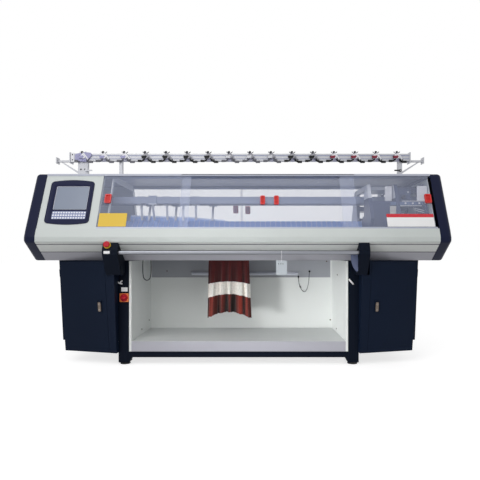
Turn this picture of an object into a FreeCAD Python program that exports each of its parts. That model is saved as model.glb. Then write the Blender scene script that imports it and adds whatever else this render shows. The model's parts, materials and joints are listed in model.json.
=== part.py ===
import FreeCAD, Part

import math
import os
import re

import Sketcher

# Flat knitting machine with two needle beds in a V, in millimetres.
# +X to the right seen from the front, +Y to the back, +Z up. The needle mouth lies on Y = 0.
# The housing's front and back have the same outline; the back stands rear_extra further out.

SIZES = {
    # housing outline, front half: distances in front of the needle mouth, and heights
    "half_length": 1400,
    "cap_width": 80,
    "cap_round": 28,
    "skirt_y": 284,
    "skirt_z": 716,
    "nose_y": 430,
    "nose_low_z": 851,
    "nose_top_z": 870,
    "band_y": 411,
    "band_z": 927,
    "door_lean": 21.9,
    "slope_len": 416,
    "rear_extra": 33.61,
    "shell_wall": 6,
    "groove_low_z": 773,
    "groove_high_z": 822,
    "groove_half": 3.5,
    # top cover and door tracks, across the doors
    "cover_lip": 16,
    "lip_wall": 3,
    "cover_wall": 3.2,
    "pane_thick": 5,
    "pane_play": 0.6,
    "outer_pane": 5,
    "inner_pane": 26,
    "track_depth": 36,
    "track_floor": 4,
    "track_lip": 8,
    "door_gap": 0.3,
    # front doors and the panel, along X
    "panel_right": 930,
    "door_a_right": 328,
    "door_b_left": 394,
    "doors_meet": 206,
    "door_c_right": 797,
    "door_d_left": 695,
    "door_d_right": 1301,
    "handle_wide": 43,
    "handle_tall": 66,
    "inner_handle_wide": 32,
    "handle_thick": 12,
    "handle_low": 188,
    "handle_round": 6,
    "handle_rim": 8,
    "handle_recess": 8,
    "handle_a_left": 898,
    "handle_b_left": 149,
    "handle_c_left": 242,
    "handle_d_left": 1256,
    "rear_panel_in": 880,
    "rear_door_end": 1306,
    "rear_door_lap": 10,
    "rear_handle_x": 29,
    # sloping panel with the screen and the keys
    "panel_wall": 3,
    "bezel_left": 1278,
    "bezel_right": 983,
    "bezel_low": 28,
    "bezel_high": 366,
    "bezel_arc": 779,
    "bezel_thick": 6,
    "screen_left": 1237,
    "screen_right": 1012,
    "screen_low": 138,
    "screen_high": 318,
    "screen_hidden": 7,
    "screen_thick": 6,
    "pad_left": 1232,
    "pad_low": 66,
    "pad_high": 124,
    "pad_thick": 1,
    "key_wide": 12,
    "key_tall": 11,
    "key_proud": 1.2,
    "key_pitch_x": 17.2,
    "key_pitch_z": 19.5,
    "key_edge": 3,
    # shoulders, operating bar, emergency stop
    "shoulder_top_z": 842,
    "shoulder_nose_y": 444,
    "shoulder_nose_z": 788,
    "shoulder_chin_z": 752,
    "shoulder_foot_y": 368,
    "shoulder_foot_z": 620,
    "shoulder_round": 12,
    "shoulder_left_in": 777,
    "shoulder_left_out": 877,
    "shoulder_right_in": 790,
    "shoulder_right_out": 860,
    "bar_y": 415,
    "bar_z": 769,
    "bar_radius": 14,
    "bar_play": 0.3,
    "bar_depth": 15,
    "stop_x": 845,
    "stop_base_radius": 23,
    "stop_base_high": 10,
    "stop_cap_radius": 21,
    "stop_cap_low": 16,
    "stop_brim_high": 23,
    "stop_crown_radius": 18,
    "stop_cap_high": 27,
    "stop_stem_radius": 9,
    "stop_stem_low": 6.5,
    "stop_play": 0.3,
    # legs, feet, beams
    "column_in": 752,
    "column_out": 825,
    "column_y": 274,
    "column_deep": 80,
    "frame_top_z": 780,
    "frame_rail_tall": 80,
    "low_rail_z": 92,
    "low_rail_tall": 58,
    "foot_high": 14,
    "foot_radius": 34,
    "foot_stem_radius": 20,
    "foot_pad_high": 6,
    "beam_low_z": 50,
    "beam_high_z": 90,
    "beam_deep": 40,
    "beam_gusset": 20,
    # main bed beam
    "beam_end": 1312,
    "slot_half": 45,
    "shoe_y": 151,
    "ledge_in": 190,
    "ledge_out": 250,
    "ledge_z": 880,
    "end_block": 72,
    "gusset_thick": 12,
    "gusset_tall": 12,
    "gusset_pitch": 640,
    "lug_x": 725,
    "lug_thick": 20,
    "lug_half": 60,
    "lug_low_z": 715,
    "gland_radius": 8,
    "gland_high": 12,
    # needle beds
    "mouth_z": 1005,
    "mouth_half": 8,
    "slit_half": 4,
    "bed_half": 1240,
    "bed_wide": 230,
    "bed_thick": 28,
    "trick_wide": 13,
    "trick_deep": 5,
    "trick_long": 205,
    "trick_count": 65,
    "trick_margin": 24,
    # carriage rails, carriage
    "rail_y": 220,
    "rail_wide": 22,
    "rail_tall": 20,
    "rail_end": 1306,
    "slide_play": 0.3,
    "carriage_left": 902,
    "carriage_right": 1302,
    "bow_thick": 24,
    "bow_low_z": 925,
    "bow_foot_y": 262,
    "bow_waist_y": 300,
    "bow_waist_z": 1000,
    "bow_top_y": 190,
    "bow_top_z": 1250,
    "bow_foot_in": 175,
    "passage_half": 110,
    "passage_low_z": 990,
    "passage_high_z": 1215,
    "deck_low_z": 1093,
    "deck_high_z": 1127,
    "deck_y": 246,
    "cam_low": 25,
    "cam_high": 205,
    "cam_above": 3,
    "cam_tall": 61,
    "slider_wide": 50,
    "slider_long": 80,
    "slider_low_z": 884,
    "head_left": 1095,
    "head_right": 1208,
    "head_y": 198,
    "head_top_z": 1215,
    "brush_left": 926,
    "brush_right": 1045,
    "brush_y": 256,
    "brush_deep": 50,
    "brush_low_z": 935,
    # belt drive
    "pulley_x": 1278,
    "pulley_z": 830,
    "pulley_radius": 25.7,
    "belt_radius": 26,
    "belt_thick": 3,
    "belt_y": 262,
    "belt_wide": 20,
    "flange_radius": 31,
    "flange_thick": 2,
    "pulley_teeth": 24,
    "turned_sides": 24,
    "small_sides": 12,
    "shaft_radius": 8,
    "shaft_play": 0.3,
    "shaft_reach": 22,
    "motor_y": 290,
    "motor_long": 100,
    "motor_low_z": 794,
    "motor_wide": 80,
    "tab_left": 1050,
    "tab_right": 1150,
    # yarn rails and carriers
    "yarn_rail_pitch": 44,
    "yarn_rail_thick": 8,
    "yarn_rail_low": 1130,
    "yarn_rail_high": 1180,
    "saddle_wide": 60,
    "saddle_wall": 7,
    "arm_wide": 16,
    "arm_thick": 5,
    "tip_z": 1012,
    "tip_pitch": 9.5,
    # take-down rollers
    "roller_radius": 25,
    "roller_z": 748,
    "nip_gap": 3.2,
    "roller_end": 722,
    "journal_radius": 10,
    "journal_play": 0.3,
    "journal_end": 742,
    # inner walls
    "wall_thick": 4,
    "partition_x": 880,
    "partition_rim": 28,
    "partition_top": 24,
    # fabric compartment
    "lining_half": 736,
    "lining_sheet": 2,
    "lining_back": 261,
    "lining_top_z": 712,
    "tray_z": 160,
    "tray_play": 0.3,
    "lamp_left": 417,
    "lamp_right": 474,
    "lamp_low_z": 580,
    "lamp_high_z": 622,
    "lamp_back": 9,
    "lamp_radius": 13,
    "clip_x": 551,
    "clip_z": 612,
    "clip_tall": 14,
    "clip_wide": 10,
    "clip_deep": 14,
    # main switch
    "switch_left": 815,
    "switch_right": 753,
    "switch_low_z": 431,
    "switch_high_z": 490,
    "switch_thick": 8,
    "knob_radius": 19,
    "knob_thick": 9,
    "knob_bar": 9,
    "knob_bar_proud": 14,
    "knob_stem_radius": 5,
    "knob_stem": 5,
    "knob_play": 0.3,
    # end cabinets, in their own leaning front plane
    "cabinet_out": 1240,
    "cabinet_front_y": 310,
    "cabinet_rear_y": 300,
    "cabinet_low_z": 155,
    "cabinet_wall": 3,
    "cabinet_frame": 7,
    "cabinet_turn": 13.5,
    "cabinet_lean": 5.9,
    "front_low_z": 85,
    "strip_wide": 53.5,
    "strip_deep": 30,
    "door_edge": 1.5,
    "cabinet_door_wide": 345,
    "cabinet_door_tall": 626,
    "cabinet_door_thick": 20,
    "hinge_reach": 7,
    "hinge_deep": 12,
    "hinge_radius": 6,
    "hinge_tall": 25,
    "hinge_pin": 3,
    "hinge_play": 0.3,
    "hinge_low": 100,
    "hinge_high": 520,
    "lock_x": 105,
    "lock_z": 319,
    "lock_wide": 30,
    "lock_tall": 86,
    "lock_plate": 3,
    "lever_wide": 22,
    "lever_tall": 68,
    "lever_thick": 7,
    "lever_pin": 2,
    # yarn stand
    "stand_half": 1265,
    "stand_low_z": 1455,
    "stand_high_z": 1508,
    "stand_deep": 40,
    "end_flange_thick": 6,
    "end_flange_over": 10,
    "end_block_left": 1129,
    "post_out": 1212,
    "post_wide": 30,
    "left_post_wide": 72,
    "thin_post_x": 904,
    "thin_post_wide": 23,
    "foot_bar_end": 453,
    "foot_bar_tall": 12,
    "side_arm_end": 1373,
    "side_arm_low_z": 1448,
    "side_arm_tall": 14,
    "side_arm_deep": 16,
    "arm_plate_thick": 7,
    "arm_plate_low_z": 1436,
    "arm_plate_high_z": 1481,
    "arm_plate_deep": 50,
    "strut_low_z": 1360,
    "strut_tall": 16,
    "strut_x": 1330,
    "clamp_z": 1384,
    "clamp_pin": 4,
    "clamp_hub": 9,
    "clamp_thick": 8,
    "clamp_long": 44,
    "clamp_play": 0.3,
    # yarn devices
    "device_count": 16,
    "device_first": 1169,
    "device_wide": 28,
    "device_low_z": 1462,
    "device_high_z": 1512,
    "device_plate": 9,
    "disc_radius": 15,
    "disc_thick": 12,
    "disc_z": 1486,
    "top_knob_half": 4,
    "top_knob_high": 1527,
    "feeler_wide": 4,
    "feeler_low_z": 1437,
    "feeler_foot": 26,
    # fabric, card
    "fabric_left": 236,
    "fabric_right": 66,
    "fabric_low_left": 250,
    "fabric_low_right": 81,
    "fabric_thick": 2.4,
    "fabric_top_z": 1002,
    "fabric_low_z": 276,
    "fabric_arch": 46,
    "fold_top_z": 716,
    "fold_mid_z": 560,
    "fold_top": 1,
    "fold_mid": 8,
    "fold_low": 14,
    "fold_count": 10,
    "fold_slope": 0.3,
    "card_left": 251,
    "card_right": 322,
    "card_low_z": 623,
    "card_high_z": 717,
    "card_thick": 1.2,
    "cable_radius": 3.25,
    "wire_radius": 2,
    "string_radius": 1,
}

doc = FreeCAD.newDocument("flat_knitting_machine")
sheet = doc.addObject("Spreadsheet::Sheet", "Sizes")
for row, (alias, value) in enumerate(SIZES.items(), start=1):
    sheet.set(f"A{row}", alias)
    sheet.set(f"B{row}", str(value))
    sheet.setAlias(f"B{row}", alias)
doc.recompute()

NODES = {}
WORLD = ""
PLANES = {"YZ": "YZ_Plane", "XZ": "XZ_Plane", "XY": "XY_Plane"}
TURNS = {"z": "0; 0; 0", "x": "0; 90; 0", "y": "0; 0; -90", "-y": "0; 0; 90"}


def named(text):
    """An expression with each size's alias pointed at the sheet."""
    return re.sub(r"[A-Za-z_]\w*", lambda m: f"Sizes.{m[0]}" if m[0] in SIZES else m[0], str(text))


def size(text):
    """The number that an expression of sizes stands for."""
    return float(sheet.evalExpression(re.sub(r"Sizes\.", "", named(text))))


def place(obj, x, y, z, turn="0; 0; 0", frame=WORLD):
    """Put an object at a point of a frame, bound to the sheet."""
    local = f"placement(vector({x}; {y}; {z}); rotation({turn}))"
    obj.setExpression("Placement", named(f"{frame} * {local}" if frame else local))


def frame_at(x, y, z, turn):
    return f"placement(vector({x}; {y}; {z}); rotation({turn}))"


def box(label, x, y, z, frame=WORLD):
    """A block between two corners, each side a pair of expressions."""
    obj = doc.addObject("Part::Box", label)
    for side, (low, high) in zip(("Length", "Width", "Height"), (x, y, z)):
        obj.setExpression(side, named(f"({high}) - ({low})"))
    place(obj, x[0], y[0], z[0], frame=frame)
    return obj


def rod(label, axis, start, radius, length, frame=WORLD):
    """A round bar from a point along an axis."""
    obj = doc.addObject("Part::Cylinder", label)
    obj.setExpression("Radius", named(radius))
    obj.setExpression("Height", named(length))
    place(obj, *start, turn=TURNS[axis], frame=frame)
    return obj


def prism(label, axis, start, radius, length, sides, frame=WORLD):
    """A bar of even sides, with its corners on the radius."""
    obj = doc.addObject("Part::Prism", label)
    obj.setExpression("Polygon", named(sides))
    obj.setExpression("Circumradius", named(radius))
    obj.setExpression("Height", named(length))
    place(obj, *start, turn=TURNS[axis], frame=frame)
    return obj


def fuse(label, *parts):
    obj = doc.addObject("Part::MultiFuse", label)
    obj.Shapes = list(parts)
    obj.Refine = True
    return obj


def group(label, *parts):
    """Separate solids that share one node."""
    obj = doc.addObject("Part::Compound", label)
    obj.Links = list(parts)
    return obj


def cut(label, base, *tools):
    obj = doc.addObject("Part::Cut", label)
    obj.Base = base
    obj.Tool = tools[0] if len(tools) == 1 else fuse(f"{label}_tools", *tools)
    obj.Refine = True
    return obj


def common(label, *parts):
    obj = doc.addObject("Part::MultiCommon", label)
    obj.Shapes = list(parts)
    return obj


def mirrored(label, source, normal):
    """The same piece on the other side; across Y the plane lies half rear_extra behind the mouth."""
    obj = doc.addObject("Part::Mirroring", label)
    obj.Source = source
    obj.Normal = FreeCAD.Vector(*normal)
    return obj


def to_rear(label, source):
    obj = mirrored(label, source, (0, 1, 0))
    obj.setExpression("Base.y", named("rear_extra / 2"))
    return obj


def node(name, obj):
    """Name a finished sub-part: its label is its file's name."""
    obj.Label = name
    NODES[name] = obj
    return obj


class Body:
    """A sub-part made by sketches and features in one body."""

    def __init__(self, label, frame=WORLD):
        self.body = doc.addObject("PartDesign::Body", label)
        if frame:
            self.body.setExpression("Placement", named(frame))

    def sketch(self, plane, offset, outlines):
        made = self.body.newObject("Sketcher::SketchObject", "Outline")
        origin = next(f for f in self.body.Origin.OriginFeatures if f.Role == PLANES[plane])
        made.AttachmentSupport = [(origin, "")]
        made.MapMode = "FlatFace"
        made.setExpression("AttachmentOffset.Base.z", named(offset))
        for outline in outlines:
            self._draw(made, outline)
        return made

    @staticmethod
    def _draw(made, outline):
        first = made.GeometryCount
        if outline[0] == "circle":
            x, y, radius = (size(v) for v in outline[1:])
            made.addGeometry(Part.Circle(FreeCAD.Vector(x, y, 0), FreeCAD.Vector(0, 0, 1), radius))
            for kind, text, value in (("DistanceX", outline[1], x), ("DistanceY", outline[2], y)):
                spot = made.addConstraint(Sketcher.Constraint(kind, -1, 1, first, 3, value))
                made.setExpression(f"Constraints[{spot}]", named(text))
            spot = made.addConstraint(Sketcher.Constraint("Radius", first, radius))
            made.setExpression(f"Constraints[{spot}]", named(outline[3]))
            return
        corners = [FreeCAD.Vector(size(x), size(y), 0) for x, y in outline]
        count = len(corners)
        ahead = corners[1:] + corners[:1]
        made.addGeometry([Part.LineSegment(a, b) for a, b in zip(corners, ahead)], False)
        for n in range(count):
            made.addConstraint(
                Sketcher.Constraint("Coincident", first + n, 2, first + (n + 1) % count, 1)
            )
        for n, (corner, texts) in enumerate(zip(corners, outline)):
            for kind, text, value in zip(("DistanceX", "DistanceY"), texts, (corner.x, corner.y)):
                spot = made.addConstraint(Sketcher.Constraint(kind, -1, 1, first + n, 1, value))
                made.setExpression(f"Constraints[{spot}]", named(text))

    def pad(self, plane, low, high, *outlines):
        """Fill the outlines between two heights over a plane; over XZ the heights are along Y."""
        made = self.sketch(plane, f"-({high})" if plane == "XZ" else low, outlines)
        pad = self.body.newObject("PartDesign::Pad", "Pad")
        pad.Profile = made
        pad.setExpression("Length", named(f"({high}) - ({low})"))
        doc.recompute()
        return pad

    def pocket(self, plane, low, high, *outlines):
        """Cut the outlines away between two heights, and make sure that something went."""
        before = self.body.Tip.Shape.Volume
        made = self.sketch(plane, f"-({low})" if plane == "XZ" else high, outlines)
        pocket = self.body.newObject("PartDesign::Pocket", "Pocket")
        pocket.Profile = made
        pocket.setExpression("Length", named(f"({high}) - ({low})"))
        doc.recompute()
        if not pocket.Shape.Volume < before:
            raise RuntimeError(f"{self.body.Label}: a pocket cuts nothing")
        return pocket

    def fillet(self, radius, chosen):
        tip = self.body.Tip
        edges = [f"Edge{n}" for n, e in enumerate(tip.Shape.Edges, start=1) if chosen(e)]
        made = self.body.newObject("PartDesign::Fillet", "Fillet")
        made.Base = (tip, edges)
        made.setExpression("Radius", named(radius))
        doc.recompute()
        return made

    def row_of(self, feature, length, count):
        """Repeat a feature along X, spread evenly over a length."""
        made = self.body.newObject("PartDesign::LinearPattern", "Row")
        made.Originals = [feature]
        x_axis = next(f for f in self.body.Origin.OriginFeatures if f.Role == "X_Axis")
        made.Direction = (x_axis, [""])
        made.setExpression("Length", named(length))
        made.setExpression("Occurrences", named(count))
        self.body.Tip = made
        doc.recompute()
        return made


def rectangle(x, y):
    return [(x[0], y[0]), (x[1], y[0]), (x[1], y[1]), (x[0], y[1])]


def along(edge, axis):
    """Whether a straight edge runs along a body axis."""
    spread = [edge.BoundBox.XLength, edge.BoundBox.YLength, edge.BoundBox.ZLength]
    return all(s < 1e-6 for n, s in enumerate(spread) if n != axis)


# The front door plane: x along the machine, y into it, z up the slope.
DOOR = frame_at("0", "-band_y", "band_z", "0; 0; -door_lean")
# The front needle bed's top: x along it, -y down to the front, z away from it.
FRONT_BED = frame_at("0", "-mouth_half", "mouth_z", "0; 0; 45")
# The right cabinet's front: x outwards, y into it, z up along its lean.
CABINET = frame_at("column_out", "-cabinet_front_y", "front_low_z", "cabinet_turn; 0; cabinet_lean")


def door_point(depth, up):
    """A point of the housing's section, by its depth behind the door plane and its height up it."""
    lean = "(door_lean * 1 deg)"
    y = f"(-band_y + ({depth}) * cos{lean} + ({up}) * sin{lean})"
    z = f"(band_z - ({depth}) * sin{lean} + ({up}) * cos{lean})"
    return y, z


SKIRT_RUN = "((nose_y - skirt_y) / (nose_low_z - skirt_z))"
SKIRT_ACROSS = f"sqrt(1 + {SKIRT_RUN} * {SKIRT_RUN})"


def skirt_y_at(z, inset="0"):
    """The slanted underside's distance in front of the mouth at a height, inset square to it."""
    return f"(-(skirt_y + (({z}) - skirt_z) * {SKIRT_RUN}) + ({inset}) * {SKIRT_ACROSS})"


# Half the turn of the section at each corner, as a tangent: how far an inset corner moves along.
NOSE_LOW_MITRE = "0.437"
NOSE_TOP_MITRE = "0.16"


def front_section(inset):
    """The housing's front outline from its bottom edge up, inset by a wall."""
    low_z = f"skirt_z + {inset}"
    lean = "(door_lean * 1 deg)"
    top_up = f"slope_len - ({inset}) * (1 - sin{lean}) / cos{lean}"
    return [
        (skirt_y_at(low_z, inset), low_z),
        (f"-nose_y + {inset}", f"nose_low_z + {inset} * {NOSE_LOW_MITRE}"),
        (f"-nose_y + {inset}", f"nose_top_z - {inset} * {NOSE_TOP_MITRE}"),
        door_point(inset, "0"),
        door_point(inset, top_up),
    ]


def closed_section(inset):
    """The whole outline of the housing: the front and its mirror at the back."""
    front = front_section(inset)
    return front + [(f"rear_extra - ({y})", z) for y, z in reversed(front)]


def base_frame():
    """Leg frames, feet and lower beams."""
    front = ("-column_y", "-column_y + column_deep")
    rear = ("column_y - column_deep", "column_y")
    across = ("-column_y + column_deep", "column_y - column_deep")
    wide = ("column_in", "column_out")
    tall = ("foot_high", "frame_top_z")
    legs = fuse(
        "right_leg_frame",
        box("column", wide, front, tall),
        box("column", wide, rear, tall),
        box("rail", wide, across, ("frame_top_z - frame_rail_tall", "frame_top_z")),
        box("rail", wide, across, ("low_rail_z", "low_rail_z + low_rail_tall")),
    )
    node("right_leg_frame", legs)
    node("left_leg_frame", mirrored("left_leg_frame", legs, (1, 0, 0)))

    feet = []
    x = "(column_in + column_out) / 2"
    y = "column_y - column_deep / 2"
    for side in ("", "-"):
        for end in ("", "-"):
            spot = (f"{side}({x})", f"{end}({y})")
            feet.append(
                fuse(
                    "foot",
                    prism("foot_pad", "z", (*spot, "0"), "foot_radius", "foot_pad_high",
                          "turned_sides"),
                    prism("foot_nut", "z", (*spot, "foot_pad_high"), "foot_stem_radius",
                          "foot_high - foot_pad_high", "6"),
                )
            )
    node("levelling_feet", group("levelling_feet", *feet))

    beam = Body("front_lower_beam")
    beam.pad("XZ", "-column_y", "-column_y + beam_deep", [
        ("-column_in", "beam_high_z"),
        ("-column_in", "foot_high"),
        ("-column_in + beam_gusset", "beam_low_z"),
        ("column_in - beam_gusset", "beam_low_z"),
        ("column_in", "foot_high"),
        ("column_in", "beam_high_z"),
    ])
    rear_beam = mirrored("rear_lower_beam", beam.body, (0, 1, 0))
    node("lower_beams", group("lower_beams", beam.body, rear_beam))


def bed_line(distance):
    """The height of a needle bed's underside at a distance from the mouth's plane."""
    return f"(mouth_z - ({distance}) + mouth_half - 2 * bed_thick * sin(45 deg))"


def beam_gusset(label, x, start):
    """An arm from the bed beam out to the slanted wall of the front fairing."""
    arm = Body(label)
    high = "frame_top_z + gusset_tall"
    arm.pad("YZ", x, f"{x} + gusset_thick", [
        (start, "frame_top_z"),
        (start, high),
        (skirt_y_at(high, "shell_wall"), high),
        (skirt_y_at("frame_top_z", "shell_wall"), "frame_top_z"),
    ])
    return arm.body


def bed_beam():
    """The beam that carries the beds: two bars with a slot for the fabric, lugs and arms."""
    bar = Body("front_bar")
    bar.pad("YZ", "-beam_end", "beam_end", [
        ("-slot_half", "frame_top_z"),
        ("-slot_half", bed_line("slot_half")),
        ("-shoe_y", bed_line("shoe_y")),
        ("-ledge_in", bed_line("shoe_y")),
        ("-ledge_in", "ledge_z"),
        ("-ledge_out", "ledge_z"),
        ("-ledge_out", "frame_top_z"),
    ])
    pieces = [bar.body, mirrored("rear_bar", bar.body, (0, 1, 0))]
    across = ("-slot_half - 1", "slot_half + 1")
    for low, high in (("beam_end - end_block", "beam_end"), ("-beam_end", "-beam_end + end_block")):
        pieces.append(box("end_block", (low, high), across, ("frame_top_z", "ledge_z")))
    for n in range(-2, 3):
        low = f"{n} * gusset_pitch - gusset_thick / 2"
        pieces.append(beam_gusset("front_arm", low, "-ledge_out + 1"))
        rear_arm = beam_gusset("rear_arm_source", low, "-ledge_out + 1 + rear_extra")
        pieces.append(to_rear("rear_arm", rear_arm))
    nip = "(roller_radius + nip_gap / 2)"
    for low in ("lug_x", "-lug_x - lug_thick"):
        lug = box("lug", (low, f"{low} + lug_thick"), ("-lug_half", "lug_half"),
                  ("lug_low_z", "frame_top_z + 1"))
        bores = [
            rod("bore", "x", (f"{low} - 1", y, "roller_z"), "journal_radius + journal_play",
                "lug_thick + 2")
            for y in (nip, f"-{nip}")
        ]
        pieces.append(cut("bored_lug", lug, *bores))
    pieces.append(
        rod("idler_pin", "y", ("pulley_x", "ledge_out - 1", "pulley_z"), "shaft_radius",
            "belt_y + belt_wide + 1 + flange_thick + 1 - ledge_out")
    )
    for x, _ in (CABLE_ROUTE[0], CABLE_ROUTE[-1]):
        pieces.append(
            prism("gland", "z", (str(x), str(CABLE_Y), "frame_top_z - gland_high"), "gland_radius",
                  "gland_high + 1", "6")
        )
    node("bed_beam", fuse("bed_beam", *pieces))


def needle_beds():
    """Two slotted plates at 45 degrees that meet at the needle mouth."""
    bed = Body("front_needle_bed", FRONT_BED)
    lip = "(mouth_half - slit_half) * sqrt(2)"
    bed.pad("YZ", "-bed_half", "bed_half", [
        ("-bed_wide", "-bed_thick"),
        ("-bed_wide", "0"),
        ("0", "0"),
        ("0", f"-{lip}"),
        (f"-bed_thick + {lip}", "-bed_thick"),
    ])
    first = "(-bed_half + trick_margin)"
    trick = bed.pocket(
        "XY", "-trick_deep", "0",
        rectangle((f"{first} - trick_wide / 2", f"{first} + trick_wide / 2"), ("-trick_long", "2")),
    )
    bed.row_of(trick, "2 * (bed_half - trick_margin)", "trick_count")
    node("front_needle_bed", bed.body)
    node("rear_needle_bed", mirrored("rear_needle_bed", bed.body, (0, 1, 0)))


def carriage_rails():
    rail = box("carriage_rail", ("-rail_end", "rail_end"),
               ("-rail_y - rail_wide / 2", "-rail_y + rail_wide / 2"),
               ("ledge_z", "ledge_z + rail_tall"))
    node("carriage_rails", group("carriage_rails", rail, mirrored("rail", rail, (0, 1, 0))))


def carriage_bow(label, x):
    """One of the arches that carry the cam boxes over the yarn rails."""
    bow = Body(label)
    half = [
        ("-bow_foot_in", "bow_low_z"),
        ("-bow_foot_y", "bow_low_z"),
        ("-bow_waist_y", "bow_waist_z"),
        ("-bow_top_y", "bow_top_z"),
    ]
    inside = [
        ("-passage_half", "passage_high_z"),
        ("-passage_half", "passage_low_z"),
    ]
    rear = [(f"-({y})", z) for y, z in reversed(half)]
    inside_rear = [(f"-({y})", z) for y, z in reversed(inside)]
    bow.pad("YZ", x, f"{x} + bow_thick", half + rear + inside_rear + inside)
    return bow.body


def carriage_side(label):
    """What the carriage has in front of the mouth: cam box, deck and sliders on the rail."""
    inner = ("carriage_left + 2", "carriage_right - 2")
    pieces = [
        box("cam_box", inner, ("-cam_high", "-cam_low"), ("cam_above", "cam_above + cam_tall"),
            frame=FRONT_BED),
        box("deck", inner, ("-deck_y", "-passage_half"), ("deck_low_z", "deck_high_z")),
    ]
    groove = ("-rail_y - rail_wide / 2 - slide_play", "-rail_y + rail_wide / 2 + slide_play")
    for low in ("carriage_left + 2", "carriage_right - 2 - slider_long"):
        high = f"{low} + slider_long"
        block = box("slider", (low, high),
                    ("-rail_y - slider_wide / 2", "-rail_y + slider_wide / 2"),
                    ("slider_low_z", "bow_low_z + 1"))
        slot = box("slot", (f"{low} - 1", f"{high} + 1"), groove,
                   ("slider_low_z - 1", "ledge_z + rail_tall + slide_play"))
        pieces.append(cut("slotted_slider", block, slot))
    return fuse(label, *pieces)


def carriage():
    """The knitting carriage, parked at the right-hand end."""
    front = carriage_side("carriage_front")
    middle = "(carriage_left + carriage_right - bow_thick) / 2"
    bows = [
        carriage_bow("bow", x)
        for x in ("carriage_left", middle, "(carriage_right - bow_thick)")
    ]
    ridge = box("ridge", ("carriage_left + 2", "carriage_right - 2"), ("-passage_half", "passage_half"),
                ("passage_high_z + 8", "bow_top_z - 2"))
    head = box("head", ("head_left", "head_right"), ("-head_y", "-passage_half"),
               ("deck_high_z - 1", "head_top_z"))
    brush = box("brush_box", ("brush_left", "brush_right"),
                ("-brush_y", "-brush_y + brush_deep"), ("brush_low_z", "deck_low_z + 1"))
    tab = box("belt_tab", ("tab_left", "tab_right"), ("bow_foot_in", "belt_y + belt_wide"),
              ("pulley_z + belt_radius + belt_thick + slide_play", "bow_low_z + 1"))
    clear = box("tab_clear", ("tab_left - 1", "tab_right + 1"), ("bow_foot_in - 1", "ledge_out + 2"),
                ("pulley_z", "ledge_z + rail_tall + 4"))
    node("carriage", fuse("carriage", front, mirrored("carriage_rear", front, (0, 1, 0)), *bows,
                          ridge, head, brush, cut("belt_clamp", tab, clear),
                          box("tab_bridge", ("tab_left", "tab_right"), ("bow_foot_in", "bow_foot_y"),
                              ("bow_low_z - 12", "bow_low_z + 60"))))


def stadium(label, radius, y, wide):
    """A block with round ends about the two pulleys."""
    return fuse(
        label,
        box("run", ("-pulley_x", "pulley_x"), (y, f"{y} + {wide}"),
            (f"pulley_z - ({radius})", f"pulley_z + ({radius})")),
        rod("turn", "y", ("-pulley_x", y, "pulley_z"), radius, wide),
        rod("turn", "y", ("pulley_x", y, "pulley_z"), radius, wide),
    )


def pulley(label, x):
    """A flanged belt pulley about an axis along Y."""
    teeth = "pulley_teeth"
    rim = prism("rim", "y", (x, "belt_y", "pulley_z"), "pulley_radius", "belt_wide", teeth)
    flanges = [
        prism("flange", "y", (x, y, "pulley_z"), "flange_radius", "flange_thick", teeth)
        for y in ("belt_y - flange_thick", "belt_y + belt_wide")
    ]
    return fuse(label, rim, *flanges)


def belt_drive():
    """The belt behind the beds, its two pulleys and the motor."""
    loop = cut("drive_belt",
               stadium("belt_outside", "belt_radius + belt_thick", "(belt_y + slide_play)",
                       "(belt_wide - 2 * slide_play)"),
               stadium("belt_inside", "belt_radius", "(belt_y - 1)", "(belt_wide + 2)"))
    node("drive_belt", loop)
    idler = cut("idler_pulley", pulley("idler_blank", "pulley_x"),
                rod("bore", "y", ("pulley_x", "belt_y - flange_thick - 1", "pulley_z"),
                    "shaft_radius + shaft_play", "belt_wide + 2 * flange_thick + 2"))
    node("idler_pulley", idler)
    shaft = rod("shaft", "y", ("-pulley_x", "belt_y", "pulley_z"), "shaft_radius",
                "motor_y + shaft_reach - belt_y")
    node("drive_pulley", fuse("drive_pulley", pulley("drive_blank", "-pulley_x"), shaft))
    housing = box("motor_housing", ("-beam_end", "-beam_end + motor_wide"),
                  ("motor_y", "motor_y + motor_long"), ("motor_low_z", "motor_low_z + motor_wide"))
    bore = rod("motor_bore", "y", ("-pulley_x", "motor_y - 1", "pulley_z"),
               "shaft_radius + shaft_play", "shaft_reach + 3")
    node("drive_motor", cut("drive_motor", housing, bore))


def yarn_rails():
    """The four rails, with the carriers that stay parked on two of them."""
    rails = []
    for n in (-1.5, -0.5, 0.5, 1.5):
        centre = f"{n} * yarn_rail_pitch"
        rails.append(
            box("yarn_rail", ("-beam_end", "beam_end"),
                (f"{centre} - yarn_rail_thick / 2", f"{centre} + yarn_rail_thick / 2"),
                ("yarn_rail_low", "yarn_rail_high"))
        )
    parked = [
        yarn_carrier("parked_carrier", str(x), rail)
        for x, rail in ((-735, -0.5), (-545, -0.5), (-330, -0.5), (-690, 1.5), (-490, 1.5), (-210, 1.5))
    ]
    node("yarn_rails", group("yarn_rails", *rails, *parked))


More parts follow.
